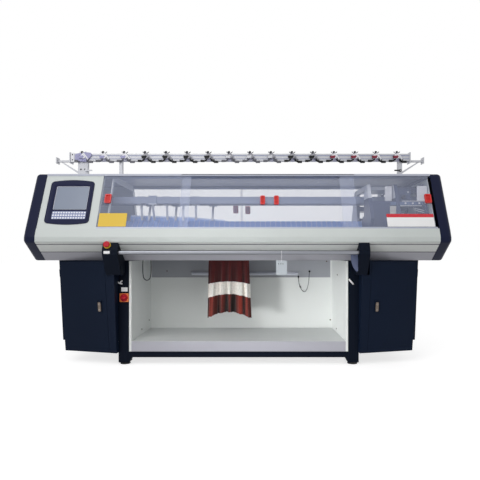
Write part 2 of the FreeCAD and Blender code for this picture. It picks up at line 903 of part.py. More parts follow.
def yarn_carrier(label, x, rail):
    """A saddle round one rail, with an arm that leans in to the needle mouth."""
    centre = f"({rail} * yarn_rail_pitch)"
    play = "slide_play"
    half = f"(yarn_rail_thick / 2 + {play} + saddle_wall)"
    block = box("saddle", (f"{x} - saddle_wide / 2", f"{x} + saddle_wide / 2"),
                (f"{centre} - {half}", f"{centre} + {half}"),
                (f"yarn_rail_low - {play} - saddle_wall", f"yarn_rail_high + {play} + saddle_wall"))
    slot = box("saddle_slot", (f"{x} - saddle_wide", f"{x} + saddle_wide"),
               (f"{centre} - yarn_rail_thick / 2 - {play}", f"{centre} + yarn_rail_thick / 2 + {play}"),
               (f"yarn_rail_low - {play}", f"yarn_rail_high + {play}"))
    arm = Body("arm")
    tip = f"({rail} * tip_pitch)"
    top_z = f"(yarn_rail_low - {play} - saddle_wall + 1)"
    arm.pad("YZ", f"{x} - arm_wide / 2", f"{x} + arm_wide / 2", [
        (f"{centre} - arm_thick", top_z),
        (f"{tip} - arm_thick / 2", "tip_z"),
        (f"{tip} + arm_thick / 2", "tip_z"),
        (f"{centre} + arm_thick", top_z),
    ])
    return fuse(label, cut("slotted_saddle", block, slot), arm.body)


def yarn_carriers():
    """The two carriers that travel."""
    node("yarn_carrier_1", yarn_carrier("yarn_carrier_1", "-640", -1.5))
    node("yarn_carrier_2", yarn_carrier("yarn_carrier_2", "-430", 0.5))


def roller(label, y):
    """A take-down roller with its journals."""
    body = rod("roller_body", "x", ("-roller_end", y, "roller_z"), "roller_radius", "2 * roller_end")
    axle = rod("roller_axle", "x", ("-journal_end", y, "roller_z"), "journal_radius", "2 * journal_end")
    return fuse(label, body, axle)


def rollers():
    nip = "(roller_radius + nip_gap / 2)"
    node("takedown_roller", roller("takedown_roller", nip))
    node("press_roller", roller("press_roller", f"-{nip}"))


def fairings():
    """The nose shells, front and rear, with a shelf for the lower door track."""
    shell = Body("front_fairing")
    outside = front_section("0")[:4]
    inside = front_section("shell_wall")
    shell.pad("YZ", "-(half_length - cap_width)", "half_length - cap_width", outside + [
        door_point("track_depth", "0"),
        door_point("track_depth", "-track_floor"),
        door_point("shell_wall", "-track_floor"),
        inside[2],
        inside[1],
        (skirt_y_at("skirt_z", "shell_wall"), "skirt_z"),
    ])
    for z in ("groove_low_z", "groove_high_z"):
        shell.pocket("YZ", "-half_length", "half_length", [
            (skirt_y_at(f"{z} - groove_half", "-0.5"), f"{z} - groove_half"),
            (skirt_y_at(f"{z} + groove_half", "-0.5"), f"{z} + groove_half"),
            (skirt_y_at(z, "groove_half"), z),
        ])
    node("front_fairing", shell.body)
    node("rear_fairing", to_rear("rear_fairing", shell.body))


def top_cover():
    cover = Body("top_cover")
    front = [
        door_point("lip_wall", "slope_len - cover_wall"),
        door_point("lip_wall", "slope_len - cover_lip"),
        door_point("0", "slope_len - cover_lip"),
        door_point("0", "slope_len"),
    ]
    rear = [(f"rear_extra - ({y})", z) for y, z in reversed(front)]
    end = "half_length - cap_width"
    cover.pad("YZ", f"-({end})", end, front + rear)
    node("top_cover", cover.body)


def end_caps():
    """Moulded end covers: rounded outside, hollow behind."""
    cap = Body("right_end_cap")
    joint = "half_length - cap_width"
    cap.pad("YZ", joint, "half_length", closed_section("0"))
    outer = size("half_length")
    cap.fillet("cap_round", lambda e: abs(e.BoundBox.XMin - outer) < 1e-6
               and e.BoundBox.ZMax > size("skirt_z") + 1)
    cap.pocket("YZ", joint, "half_length - cap_round", closed_section("shell_wall"))
    cap.pocket("YZ", "half_length - cap_round - 1", "half_length - shell_wall",
               closed_section("(cap_round + 2)"))
    node("right_end_cap", cap.body)
    node("left_end_cap", mirrored("left_end_cap", cap.body, (1, 0, 0)))


def track_outline(base_low, base_high, lip_end):
    """A two-groove track's section in the door plane: depth, then height."""
    play = "pane_play"
    marks = [
        ("lip_wall", "outer_pane - " + play),
        (f"outer_pane + pane_thick + {play}", f"inner_pane - {play}"),
        (f"inner_pane + pane_thick + {play}", "track_depth"),
    ]
    points = [("lip_wall", base_low), ("track_depth", base_low)]
    for near, far in reversed(marks):
        points += [(far, lip_end), (near, lip_end)] if far != "track_depth" else [
            ("track_depth", lip_end), (near, lip_end)]
        if near != "lip_wall":
            points += [(near, base_high)]
            nearer = marks[marks.index((near, far)) - 1][1]
            points += [(nearer, base_high)]
    return points


def door_tracks():
    """Lower and upper tracks, front and rear."""
    left = "-panel_right"
    end = "beam_end"
    tracks = []
    for low, high, lips in (
        ("0", "track_floor", "track_floor + track_lip"),
        ("slope_len - track_floor", "slope_len - 2 * track_floor",
         "slope_len - 2 * track_floor - track_lip"),
    ):
        outline = track_outline(low, high, lips)
        track = Body("front_track")
        track.pad("YZ", left, end, [door_point(depth, up) for depth, up in outline])
        rear = Body("rear_track_front")
        rear.pad("YZ", "-rear_panel_in", end, [door_point(depth, up) for depth, up in outline])
        tracks += [track.body, to_rear("rear_track", rear.body)]
    node("door_tracks", group("door_tracks", *tracks))


def pull(label, x, wide, depth):
    """A recessed finger pull on a pane's outer face."""
    grip = Body(label, DOOR)
    face = (x, f"({x}) + {wide}")
    tall = ("handle_low", "handle_low + handle_tall")
    grip.pad("XZ", f"{depth} - handle_thick", depth, rectangle(face, tall))
    grip.fillet("handle_round", lambda e: along(e, 1))
    rim = "handle_rim"
    grip.pocket("XZ", f"{depth} - handle_thick", f"{depth} - handle_thick + handle_recess",
                rectangle((f"{face[0]} + {rim}", f"{face[1]} - {rim}"),
                          (f"{tall[0]} + {rim}", f"{tall[1]} - {rim}")))
    return grip.body


def sliding_door(label, x, depth, handle_x, handle_wide):
    """A clear pane in one of the two grooves, with its pull."""
    pane = box(f"{label}_pane", x, (depth, f"{depth} + pane_thick"),
               ("track_floor + door_gap", "slope_len - 2 * track_floor - 2"), frame=DOOR)
    return group(label, pane, pull(f"{label}_pull", handle_x, handle_wide, depth))


def doors():
    front = (
        ("front_door_a", ("-panel_right + 2", "-door_a_right"), "outer_pane", "-handle_a_left",
         "handle_wide"),
        ("front_door_b", ("-door_b_left", "doors_meet"), "inner_pane", "handle_b_left",
         "inner_handle_wide"),
        ("front_door_c", ("doors_meet + 1", "door_c_right"), "inner_pane", "handle_c_left",
         "inner_handle_wide"),
        ("front_door_d", ("door_d_left", "door_d_right"), "outer_pane", "handle_d_left",
         "handle_wide"),
    )
    for name, x, depth, handle_x, wide in front:
        node(name, sliding_door(name, x, depth, handle_x, wide))
    left = sliding_door("rear_left", ("-rear_panel_in + 1", "rear_door_lap"), "outer_pane",
                        "-rear_handle_x - handle_wide", "handle_wide")
    right = sliding_door("rear_right", ("-rear_door_lap", "rear_door_end"), "inner_pane",
                         "rear_handle_x", "handle_wide")
    node("rear_door_left", to_rear("rear_door_left", left))
    node("rear_door_right", to_rear("rear_door_right", right))


def panel():
    """The sloping control panel with its screen unit and keys, and the plain panel behind it."""
    cover = Body("control_panel", DOOR)
    x = ("-(half_length - cap_width)", "-panel_right")
    high = "slope_len - cover_wall - 1"
    cover.pad("XZ", "lip_wall", "track_depth", rectangle(x, ("0", high)))
    wall = "panel_wall"
    cover.pocket("XZ", f"lip_wall + {wall}", "track_depth",
                 rectangle((f"{x[0]} + {wall}", f"{x[1]} - {wall}"), (wall, f"{high} - {wall}")))
    cover.pocket("XZ", "0", f"lip_wall + {wall}",
                 rectangle(("-screen_left - 2 * screen_hidden", "-screen_right + 2 * screen_hidden"),
                           ("screen_low - 2 * screen_hidden", "screen_high + 2 * screen_hidden")))
    node("control_panel", cover.body)

    closing = Body("rear_panel_source", DOOR)
    x = (x[0], "-rear_panel_in - 1")
    closing.pad("XZ", "lip_wall", "track_depth", rectangle(x, ("0", high)))
    closing.pocket("XZ", f"lip_wall + {wall}", "track_depth",
                   rectangle((f"{x[0]} + {wall}", f"{x[1]} - {wall}"), (wall, f"{high} - {wall}")))
    node("rear_panel", to_rear("rear_panel", closing.body))

    middle = "-(bezel_left + bezel_right) / 2"
    front = "lip_wall - bezel_thick"
    blank = box("bezel_blank", ("-bezel_left", "-bezel_right"), (front, "lip_wall"),
                ("bezel_low", "bezel_high"), frame=DOOR)
    arcs = [
        rod("bezel_top", "y", (middle, front, "bezel_high - bezel_arc"), "bezel_arc", "bezel_thick",
            frame=DOOR),
        rod("bezel_bottom", "y", (middle, front, "bezel_low + bezel_arc"), "bezel_arc",
            "bezel_thick", frame=DOOR),
    ]
    window = box("window", ("-screen_left", "-screen_right"), (f"{front} - 1", "lip_wall + 1"),
                 ("screen_low", "screen_high"), frame=DOOR)
    node("screen_bezel", cut("screen_bezel", common("arched_bezel", blank, *arcs), window))
    hidden = "screen_hidden"
    node("touch_screen", box("touch_screen", (f"-screen_left - {hidden}", f"-screen_right + {hidden}"),
                             ("lip_wall", "lip_wall + screen_thick"),
                             (f"screen_low - {hidden}", f"screen_high + {hidden}"), frame=DOOR))

    keys = Body("keypad", DOOR)
    pad_right = "-pad_left + 12 * key_pitch_x + key_wide + 2 * key_edge"
    keys.pad("XZ", f"{front} - pad_thick", front,
             rectangle(("-pad_left", pad_right), ("pad_low", "pad_high")))
    first = ("-pad_left + key_edge", "-pad_left + key_edge + key_wide")
    rows = [
        rectangle(first, (f"pad_low + key_edge + {n} * key_pitch_z",
                          f"pad_low + key_edge + {n} * key_pitch_z + key_tall"))
        for n in range(3)
    ]
    column = keys.pad("XZ", f"{front} - pad_thick - key_proud", f"{front} - pad_thick", *rows)
    keys.row_of(column, "12 * key_pitch_x", "13")
    node("keypad", keys.body)


def inner_walls():
    """The partition beside the left bay and the two end walls."""
    arch = Body("partition")
    clear = "(track_depth + 3)"
    rim = f"({clear} + partition_rim)"
    low = "6"
    top_z = door_point("lip_wall", "slope_len - cover_wall")[1]
    top_up = "(slope_len - 20)"
    outer = [door_point(clear, low), door_point(clear, top_up)]
    outer = [outer[0], outer[1], (f"{outer[1][0]} + 8", top_z)]
    inner = [door_point(rim, low), door_point(rim, "(slope_len - partition_top)")]
    rear_outer = [(f"rear_extra - ({y})", z) for y, z in reversed(outer)]
    rear_inner = [(f"rear_extra - ({y})", z) for y, z in inner]
    arch.pad("YZ", "-partition_x", "-partition_x + wall_thick",
             outer + rear_outer + rear_inner + list(reversed(inner)))
    walls = [arch.body]
    low_z = f"skirt_z + {clear}"
    front = [
        (skirt_y_at(low_z, clear), low_z),
        (f"-nose_y + {clear} + 1", "(nose_low_z + nose_top_z) / 2 + 6"),
        door_point(clear, "0"),
        door_point(clear, top_up),
    ]
    rear = [(f"rear_extra - ({y})", z) for y, z in reversed(front)]
    for x in ("beam_end", "-beam_end - wall_thick"):
        wall = Body("end_wall")
        wall.pad("YZ", x, f"{x} + wall_thick", front + rear)
        walls.append(wall.body)
    node("inner_walls", group("inner_walls", *walls))


def shoulder(label, near, far, side):
    """A bracket on the fairing's underside that takes one end of the operating bar."""
    low, high = (near, far) if side == "" else (f"-{far}", f"-{near}")
    block = Body(label)
    block.pad("YZ", low, high, [
        (skirt_y_at("shoulder_top_z"), "shoulder_top_z"),
        ("-shoulder_nose_y", "shoulder_nose_z"),
        ("-shoulder_nose_y", "shoulder_chin_z"),
        ("-shoulder_foot_y", "shoulder_foot_z"),
        ("-column_y", "shoulder_foot_z"),
        ("-column_y", "skirt_z"),
        (skirt_y_at("skirt_z"), "skirt_z"),
    ])
    nose = size("shoulder_nose_y")
    block.fillet("shoulder_round", lambda e: along(e, 0) and abs(e.BoundBox.YMin + nose) < 1e-6)
    bore = ("circle", "-bar_y", "bar_z", "bar_radius + bar_play")
    if side == "":
        block.pocket("YZ", low, f"{low} + bar_depth + bar_play", bore)
    else:
        block.pocket("YZ", f"{high} - bar_depth - bar_play", high, bore)
    return block.body


def shoulders():
    """Both shoulders, the operating bar and the emergency stop."""
    node("left_shoulder", shoulder("left_shoulder", "shoulder_left_in", "shoulder_left_out", "-"))
    node("right_shoulder", shoulder("right_shoulder", "shoulder_right_in", "shoulder_right_out", ""))
    node("operating_bar", rod("operating_bar", "x", ("-shoulder_left_in - bar_depth", "-bar_y", "bar_z"),
                              "bar_radius", "shoulder_left_in + shoulder_right_in + 2 * bar_depth"))
    top_y = skirt_y_at("shoulder_top_z")
    face = frame_at(
        "-stop_x",
        f"({top_y} - shoulder_nose_y) / 2",
        "(shoulder_top_z + shoulder_nose_z) / 2",
        f"0; 0; atan((shoulder_top_z - shoulder_nose_z) / ({top_y} + shoulder_nose_y))",
    )
    collar = prism("stop_collar", "z", ("0", "0", "0"), "stop_base_radius", "stop_base_high",
                   "turned_sides", frame=face)
    bore = rod("stop_bore", "z", ("0", "0", "stop_stem_low - 5.5"), "stop_stem_radius + stop_play",
               "stop_base_high", frame=face)
    node("estop_base", cut("estop_base", collar, bore))
    stem = rod("stop_stem", "z", ("0", "0", "stop_stem_low"), "stop_stem_radius",
               "stop_cap_low - stop_stem_low + 1", frame=face)
    brim = prism("stop_brim", "z", ("0", "0", "stop_cap_low"), "stop_cap_radius",
                 "stop_brim_high - stop_cap_low", "turned_sides", frame=face)
    crown = prism("stop_crown", "z", ("0", "0", "stop_brim_high"), "stop_crown_radius",
                  "stop_cap_high - stop_brim_high", "turned_sides", frame=face)
    node("estop_button", fuse("estop_button", stem, brim, crown))


def main_switch():
    x = "-(switch_left + switch_right) / 2"
    z = "(switch_low_z + switch_high_z) / 2"
    front = "-column_y - switch_thick"
    plate = box("switch_blank", ("-switch_left", "-switch_right"), (front, "-column_y"),
                ("switch_low_z", "switch_high_z"))
    bore = rod("switch_bore", "y", (x, f"{front} - 1", z), "knob_stem_radius + knob_play",
               "knob_stem + 2")
    node("switch_plate", cut("switch_plate", plate, bore))
    gap = f"{front} - knob_play"
    disc = prism("knob_disc", "-y", (x, gap, z), "knob_radius", "knob_thick", "turned_sides")
    grip = box("knob_grip", (f"{x} - knob_bar / 2", f"{x} + knob_bar / 2"),
               (f"{gap} - knob_thick - knob_bar_proud", f"{gap} - knob_thick + 1"),
               (f"{z} - knob_radius + 1", f"{z} + knob_radius - 1"))
    stem = rod("knob_stem", "y", (x, f"{gap} - 1", z), "knob_stem_radius", "knob_stem + 1")
    node("switch_knob", fuse("switch_knob", disc, grip, stem))


HINGE_X = "(strip_wide + door_edge + cabinet_door_wide + hinge_reach)"


def hinge_knuckle(z, length):
    return prism("knuckle", "z", (HINGE_X, "hinge_deep", z), "hinge_radius", length, "small_sides",
                 frame=CABINET)


def hinge_pin(z, radius, length):
    return rod("hinge_pin", "z", (HINGE_X, "hinge_deep", z), radius, length, frame=CABINET)


def cabinet_body():
    """A cabinet with a fixed strip beside its door, and the hinges' lower halves."""
    blank = box("cabinet_blank", ("column_out", "cabinet_out"), ("-2 * cabinet_front_y", "cabinet_rear_y"),
                ("cabinet_low_z", "skirt_z"))
    big = "2 * cabinet_out"
    ahead = box("ahead", (f"-{big}", big), (f"-{big}", "0"), (f"-{big}", big), frame=CABINET)
    recess = box("recess", ("strip_wide", big), (f"-{big}", "cabinet_door_thick + hinge_play"),
                 (f"-{big}", big), frame=CABINET)
    notch = box("shoulder_notch", ("column_out - 1", "shoulder_left_out + hinge_play"),
                ("-2 * cabinet_front_y", "-column_y"), ("shoulder_foot_z", "skirt_z + 1"))
    rim = "cabinet_frame"
    mouth = box("door_mouth",
                (f"strip_wide + {rim}", f"strip_wide + door_edge + cabinet_door_wide - {rim}"),
                ("cabinet_door_thick", "cabinet_door_thick + 3 * cabinet_wall"),
                (f"cabinet_low_z - front_low_z + {rim} + 10", f"cabinet_door_tall - 2 * {rim}"),
                frame=CABINET)
    wall = "cabinet_wall"
    room = box("room", (f"shoulder_left_out + {rim}", f"cabinet_out - {wall}"),
               ("-2 * cabinet_front_y", f"cabinet_rear_y - {wall}"),
               (f"cabinet_low_z + {wall}", f"skirt_z - {wall}"))
    behind = box("behind", (f"-{big}", big), (f"cabinet_door_thick + 2 * {wall}", big),
                 (f"-{big}", big), frame=CABINET)
    shell = cut("cabinet_front", blank, ahead, recess, notch, mouth,
                common("cabinet_room", room, behind))
    strip = box("strip_foot", ("0", "strip_wide"), ("0", "strip_deep"),
                ("0", "cabinet_low_z - front_low_z + 20"), frame=CABINET)
    pieces = [shell, strip]
    for z in ("hinge_low", "hinge_high"):
        pieces.append(hinge_knuckle(z, "hinge_tall"))
        pieces.append(hinge_pin(f"{z} + 1", "hinge_pin", "2 * hinge_tall - 1"))
        pieces.append(box("body_leaf", (f"{HINGE_X} - hinge_radius", f"{HINGE_X} + hinge_radius"),
                          ("hinge_deep", "cabinet_door_thick + 1"), (z, f"{z} + hinge_tall"),
                          frame=CABINET))
    return fuse("right_cabinet", *pieces)


def cabinet_door():
    """A plain door with the hinges' upper halves and the lock's plate."""
    left = "strip_wide + door_edge"
    leaf = box("door_leaf", (left, f"{left} + cabinet_door_wide"), ("0", "cabinet_door_thick"),
               ("0", "cabinet_door_tall"), frame=CABINET)
    pieces = [leaf]
    pins = []
    for z in ("hinge_low", "hinge_high"):
        low = f"{z} + hinge_tall + hinge_play"
        pieces.append(hinge_knuckle(low, "hinge_tall"))
        pieces.append(box("door_leaf_arm", (f"{HINGE_X} - hinge_reach - 1", HINGE_X),
                          ("hinge_deep - hinge_radius / 2", "hinge_deep + hinge_radius / 2"),
                          (low, f"{low} + hinge_tall"), frame=CABINET))
        pins.append(hinge_pin(f"{low} - 1", "hinge_pin + hinge_play", "hinge_tall + 2"))
    door = cut("hinged_door", fuse("door_blank", *pieces), *pins)
    half_wide = "lock_wide / 2"
    plate_z = ("lock_z - lock_tall / 2", "lock_z + lock_tall / 2")
    plate = box("lock_plate", (f"lock_x - {half_wide}", f"lock_x + {half_wide}"), ("-lock_plate", "1"),
                plate_z, frame=CABINET)
    ears = []
    play = "hinge_play"
    for low, high in ((f"lock_x - {half_wide}", f"lock_x - lever_wide / 2 - {play}"),
                      (f"lock_x + lever_wide / 2 + {play}", f"lock_x + {half_wide}")):
        ears.append(box("lock_ear", (low, high), ("-lock_plate - lever_thick", "-lock_plate + 1"),
                        (f"{plate_z[1]} - 16", plate_z[1]), frame=CABINET))
    pin = rod("lock_pin", "x", (f"lock_x - {half_wide} + 1", "-lock_plate - lever_thick / 2",
                                f"{plate_z[1]} - 8"), "lever_pin", "lock_wide - 2", frame=CABINET)
    return fuse("right_cabinet_door", door, plate, *ears, pin)


def door_lock():
    """The lock's lever, which swings out about the pin in its ears."""
    top = "(lock_z + lock_tall / 2 - 8)"
    middle = "(-lock_plate - lever_thick / 2)"
    x = ("lock_x - lever_wide / 2", "lock_x + lever_wide / 2")
    half = "(lever_thick / 2 - hinge_play)"
    arm = box("lever_arm", x, (f"{middle} - {half}", f"{middle} + {half}"),
              (f"{top} - lever_tall", top), frame=CABINET)
    eye = rod("lever_eye", "x", (x[0], middle, top), half, "lever_wide", frame=CABINET)
    bore = rod("lever_bore", "x", (f"{x[0]} - 1", middle, top), "lever_pin + hinge_play",
               "lever_wide + 2", frame=CABINET)
    return cut("right_door_lock", fuse("lever", arm, eye), bore)


def cabinets():
    for name, made in (("cabinet", cabinet_body()), ("cabinet_door", cabinet_door()),
                       ("door_lock", door_lock())):
        node(f"right_{name}", made)
        node(f"left_{name}", mirrored(f"left_{name}", made, (1, 0, 0)))


def compartment():
    """The sheet lining round the fabric, and its tray."""
    lining = Body("compartment_lining")
    sheet_x = "lining_half + lining_sheet"
    edge = "column_in"
    inner_y = "-column_y + lining_sheet"
    half = [
        (edge, "-column_y"),
        (edge, inner_y),
        (sheet_x, inner_y),
        (sheet_x, "lining_back + lining_sheet"),
    ]
    inside = [("lining_half", "lining_back"), ("lining_half", "-column_y")]
    outline = half + [(f"-({x})", y) for x, y in reversed(half)]
    outline += [("-lining_half", "-column_y"), ("-lining_half", "lining_back")] + inside
    lining.pad("XY", "beam_high_z", "lining_top_z", outline)
    clip = box("wire_clip", ("clip_x - clip_wide / 2", "clip_x + clip_wide / 2"),
               ("lining_back - clip_deep", "lining_back + 1"), ("clip_z", "clip_z + clip_tall"))
    node("compartment_lining", fuse("compartment_lining", lining.body, clip))

    tray = Body("fabric_tray")
    half_x = "lining_half - tray_play"
    tray.pad("YZ", f"-({half_x})", half_x, [
        ("-column_y", "beam_high_z"),
        ("-column_y", "tray_z"),
        ("lining_back - tray_play", "tray_z"),
        ("lining_back - tray_play", "tray_z - lining_sheet"),
        (inner_y, "tray_z - lining_sheet"),
        (inner_y, "beam_high_z"),
    ])
    node("fabric_tray", tray.body)

    back = box("lamp_back", ("-lamp_left", "lamp_right"), ("lining_back - lamp_back", "lining_back"),
               ("lamp_low_z", "lamp_high_z"))
    tube_y = "lining_back - lamp_radius - tray_play"
    tube = rod("lamp_tube", "x", ("-lamp_left", tube_y, "(lamp_low_z + lamp_high_z) / 2"),
               "lamp_radius", "lamp_left + lamp_right")
    node("lamp_bar", fuse("lamp_bar", back, tube))


def cord(label, points, radius_name):
    """An eight-sided tube along straight runs with tangent arcs at the points between."""
    vectors = [FreeCAD.Vector(*p) for p in points]
    edges, start, radii = [], vectors[0], []
    for before, corner, after in zip(vectors, vectors[1:], vectors[2:]):
        back, ahead = (before - corner), (after - corner)
        turn = math.pi - back.getAngle(ahead)
        reach = 0.45 * min(back.Length, ahead.Length)
        radius = reach / math.tan(turn / 2)
        radii.append(radius)
        arc_start = corner + back.normalize() * reach
        arc_end = corner + ahead.normalize() * reach
        inward = (back + ahead).normalize()
        middle = corner + inward * (math.hypot(reach, radius) - radius)
        edges.append(Part.LineSegment(start, arc_start).toShape())
        edges.append(Part.Arc(arc_start, middle, arc_end).toShape())
        start = arc_end
    edges.append(Part.LineSegment(start, vectors[-1]).toShape())
    path = Part.Wire(edges)
    radius = size(radius_name)
    direction = (vectors[1] - vectors[0]).normalize()
    sides = 8
    # As much section as the round cord has.
    wanted_area = math.pi * radius ** 2
    corner_radius = math.sqrt(2 * wanted_area / (sides * math.sin(2 * math.pi / sides)))
    first = direction.cross(vectors[2] - vectors[1]).normalize() * corner_radius
    turns = [FreeCAD.Rotation(direction, 360 / sides * (n + 0.5)) for n in range(sides)]
    corners = [vectors[0] + turn.multVec(first) for turn in turns]
    ring = Part.makePolygon([*corners, corners[0]])
    tube = path.makePipeShell([ring], True, False)
    wanted = wanted_area * path.Length
    print(f"{label}: length {path.Length:.1f}, least radius {min(radii):.1f}, "
          f"volume {tube.Volume / wanted:.4f} of section times length")
    made = doc.addObject("Part::Feature", label)
    made.Shape = tube
    node(label, made)


# Routes of the three cords: across and up, at one depth each; the string's lie in the card's plane.
CABLE_Y = -75
CABLE_ROUTE = [
    (-708, 768), (-710, 718), (-711.5, 668), (-711, 622), (-707, 586), (-692, 567),
    (-670, 567), (-655, 586), (-651, 622), (-650.5, 668), (-652, 718), (-654, 768),
]
WIRE_Y = 252
WIRE_ROUTE = [
    (462, 580), (463, 545), (470, 508), (484, 474), (502, 453),
    (522, 456), (536, 484), (545, 528), (549, 572), (551, 612),
]


def cords():
    cord("left_cable", [(x, CABLE_Y, z) for x, z in CABLE_ROUTE], "cable_radius")
    cord("lamp_wire", [(x, WIRE_Y, z) for x, z in WIRE_ROUTE], "wire_radius")
    middle = size("(card_left + card_right) / 2")
    y, z, hang = -size("bar_y"), size("bar_z"), size("card_high_z") - 7
    reach = (size("bar_radius") + size("string_radius") + 0.3) / math.cos(math.radians(22.5))
    around = [math.radians(a) for a in (202.5, 157.5, 112.5, 67.5, 22.5, -22.5)]
    loop = [(middle, y + reach * math.cos(a), z + reach * math.sin(a)) for a in around]
    beside = size("card_thick / 2 + string_radius") + 0.3
    cord("tag_string", [(middle, y - beside, hang), *loop, (middle, y + beside, hang)],
         "string_radius")
    node("hang_tag", box("hang_tag", ("card_left", "card_right"),
                         ("-bar_y - card_thick / 2", "-bar_y + card_thick / 2"),
                         ("card_low_z", "card_high_z")))


def fold_wire(left, right, z, depth):
    """A closed section of folded cloth: flat-topped waves in front, the same behind."""
    folds = int(size("fold_count"))
    slope = size("fold_slope")
    half = size("fabric_thick") / 2
    step = (right - left) / folds
    line = []
    for n in range(folds):
        start = left + n * step
        sway = depth if n % 2 else -depth
        line += [(start, 0), (start + slope * step, sway), (start + (1 - slope) * step, sway)]
    line.append((right, 0))
    front = [FreeCAD.Vector(x, y - half, z) for x, y in line]
    back = [FreeCAD.Vector(x, y + half, z) for x, y in reversed(line)]
    return Part.makePolygon([*front, *back, front[0]])


def fabric():
    """The knitted cloth: flat through the nip, then hanging in folds with an arched lower edge."""
    left, right = -size("fabric_left"), size("fabric_right")
    low_left, low_right = -size("fabric_low_left"), size("fabric_low_right")
    top, mid, low = size("fold_top_z"), size("fold_mid_z"), size("fabric_low_z")
    share = (top - mid) / (top - low)
    sections = [
        fold_wire(left, right, top, size("fold_top")),
        fold_wire(left + (low_left - left) * share, right + (low_right - right) * share, mid,
                  size("fold_mid")),
        fold_wire(low_left, low_right, low, size("fold_low")),
    ]
    hanging = Part.makeLoft(sections, True, True)
    thick = size("fabric_thick")
    flat = Part.makeBox(right - left, thick, size("fabric_top_z") - top + 1,
                        FreeCAD.Vector(left, -thick / 2, top - 1))
    arch = size("fabric_arch")
    chord = low_right - low_left
    radius = (chord ** 2 / 4 + arch ** 2) / (2 * arch)
    deep = 4 * size("fold_low")
    drum = Part.makeCylinder(radius, deep, FreeCAD.Vector((low_left + low_right) / 2, -deep / 2,
                                                          low + arch - radius),
                             FreeCAD.Vector(0, 1, 0))
    made = doc.addObject("Part::Feature", "knitted_fabric")
    made.Shape = hanging.cut(drum).fuse(flat).removeSplitter()
    node("knitted_fabric", made)


def yarn_stand():
    """The beam over the machine, its posts, side arms and the left clamp."""
    half_deep = "stand_deep / 2"
    deep = (f"-{half_deep}", half_deep)
    base_z = door_point("0", "slope_len")[1]
    pieces = [
        box("beam", ("-stand_half", "stand_half"), deep, ("stand_low_z", "stand_high_z")),
        box("end_block", ("-stand_half", "-end_block_left"), (f"-{half_deep}", f"{half_deep} + 8"),
            ("stand_low_z - 3", "stand_high_z + 3")),
        box("left_post", ("-post_out", "-post_out + left_post_wide"), ("-post_wide / 2", "post_wide / 2"),
            (base_z, "stand_low_z + 1")),
        box("right_post", ("post_out - post_wide", "post_out"), ("-post_wide / 2", "post_wide / 2"),
            (base_z, "stand_low_z + 1")),
        box("thin_post", ("-thin_post_x", "-thin_post_x + thin_post_wide"),
            ("-post_wide / 2", "post_wide / 2"), (base_z, "stand_low_z + 1")),
        box("foot_bar", ("-thin_post_x", "-foot_bar_end"), ("-post_wide / 2", "post_wide / 2"),
            (base_z, f"{base_z} + foot_bar_tall")),
    ]
    arm = box("side_arm", ("stand_half - 1", "side_arm_end"), ("-side_arm_deep / 2", "side_arm_deep / 2"),
              ("side_arm_low_z", "side_arm_low_z + side_arm_tall"))
    flange = box("beam_flange", ("stand_half - 1", "stand_half + end_flange_thick"),
                 (f"-{half_deep} - end_flange_over", f"{half_deep} + end_flange_over"),
                 ("side_arm_low_z - end_flange_over", "stand_high_z + end_flange_over"))
    plate = box("arm_plate", ("side_arm_end - arm_plate_thick", "side_arm_end"),
                ("-arm_plate_deep / 2", "arm_plate_deep / 2"), ("arm_plate_low_z", "arm_plate_high_z"))
    strut = Body("strut")
    strut.pad("XZ", "-side_arm_deep / 4", "side_arm_deep / 4", [
        ("post_out - 1", "strut_low_z"),
        ("strut_x + strut_tall", "side_arm_low_z + 1"),
        ("strut_x", "side_arm_low_z + 1"),
        ("post_out - 1", "strut_low_z + strut_tall"),
    ])
    side = fuse("right_side_arm", arm, flange, plate, strut.body)
    pieces += [side, mirrored("left_side_arm", side, (1, 0, 0))]
    pin_x = "(post_out - post_wide / 2)"
    pieces.append(rod("clamp_pin", "-y", (pin_x, "-post_wide / 2 + 1", "clamp_z"), "clamp_pin",
                      "clamp_thick + 4"))
    left_x = "(-post_out + left_post_wide - clamp_hub)"
    pieces.append(prism("left_clamp_hub", "-y", (left_x, "-post_wide / 2 + 1", "clamp_z"),
                        "clamp_hub", "clamp_thick + 1", "small_sides"))
    pieces.append(box("left_clamp_arm", (left_x, f"{left_x} + clamp_long"),
                      ("-post_wide / 2 - clamp_thick", "-post_wide / 2 - 1"),
                      ("clamp_z - clamp_hub / 2", "clamp_z + clamp_hub / 2")))
    node("yarn_stand", fuse("yarn_stand", *pieces))

    back = "(-post_wide / 2 - clamp_play)"
    hub = prism("clamp_hub", "-y", (pin_x, back, "clamp_z"), "clamp_hub", "clamp_thick", "small_sides")
    lever = box("clamp_arm", (f"{pin_x} - clamp_long", pin_x), (f"{back} - clamp_thick", back),
                ("clamp_z - clamp_hub / 2", "clamp_z + clamp_hub / 2"))
    bore = rod("clamp_bore", "-y", (pin_x, f"{back} + 1", "clamp_z"), "clamp_pin + clamp_play",
               "clamp_thick + 3")
    node("clamp_lever", cut("clamp_lever", fuse("lever_blank", hub, lever), bore))


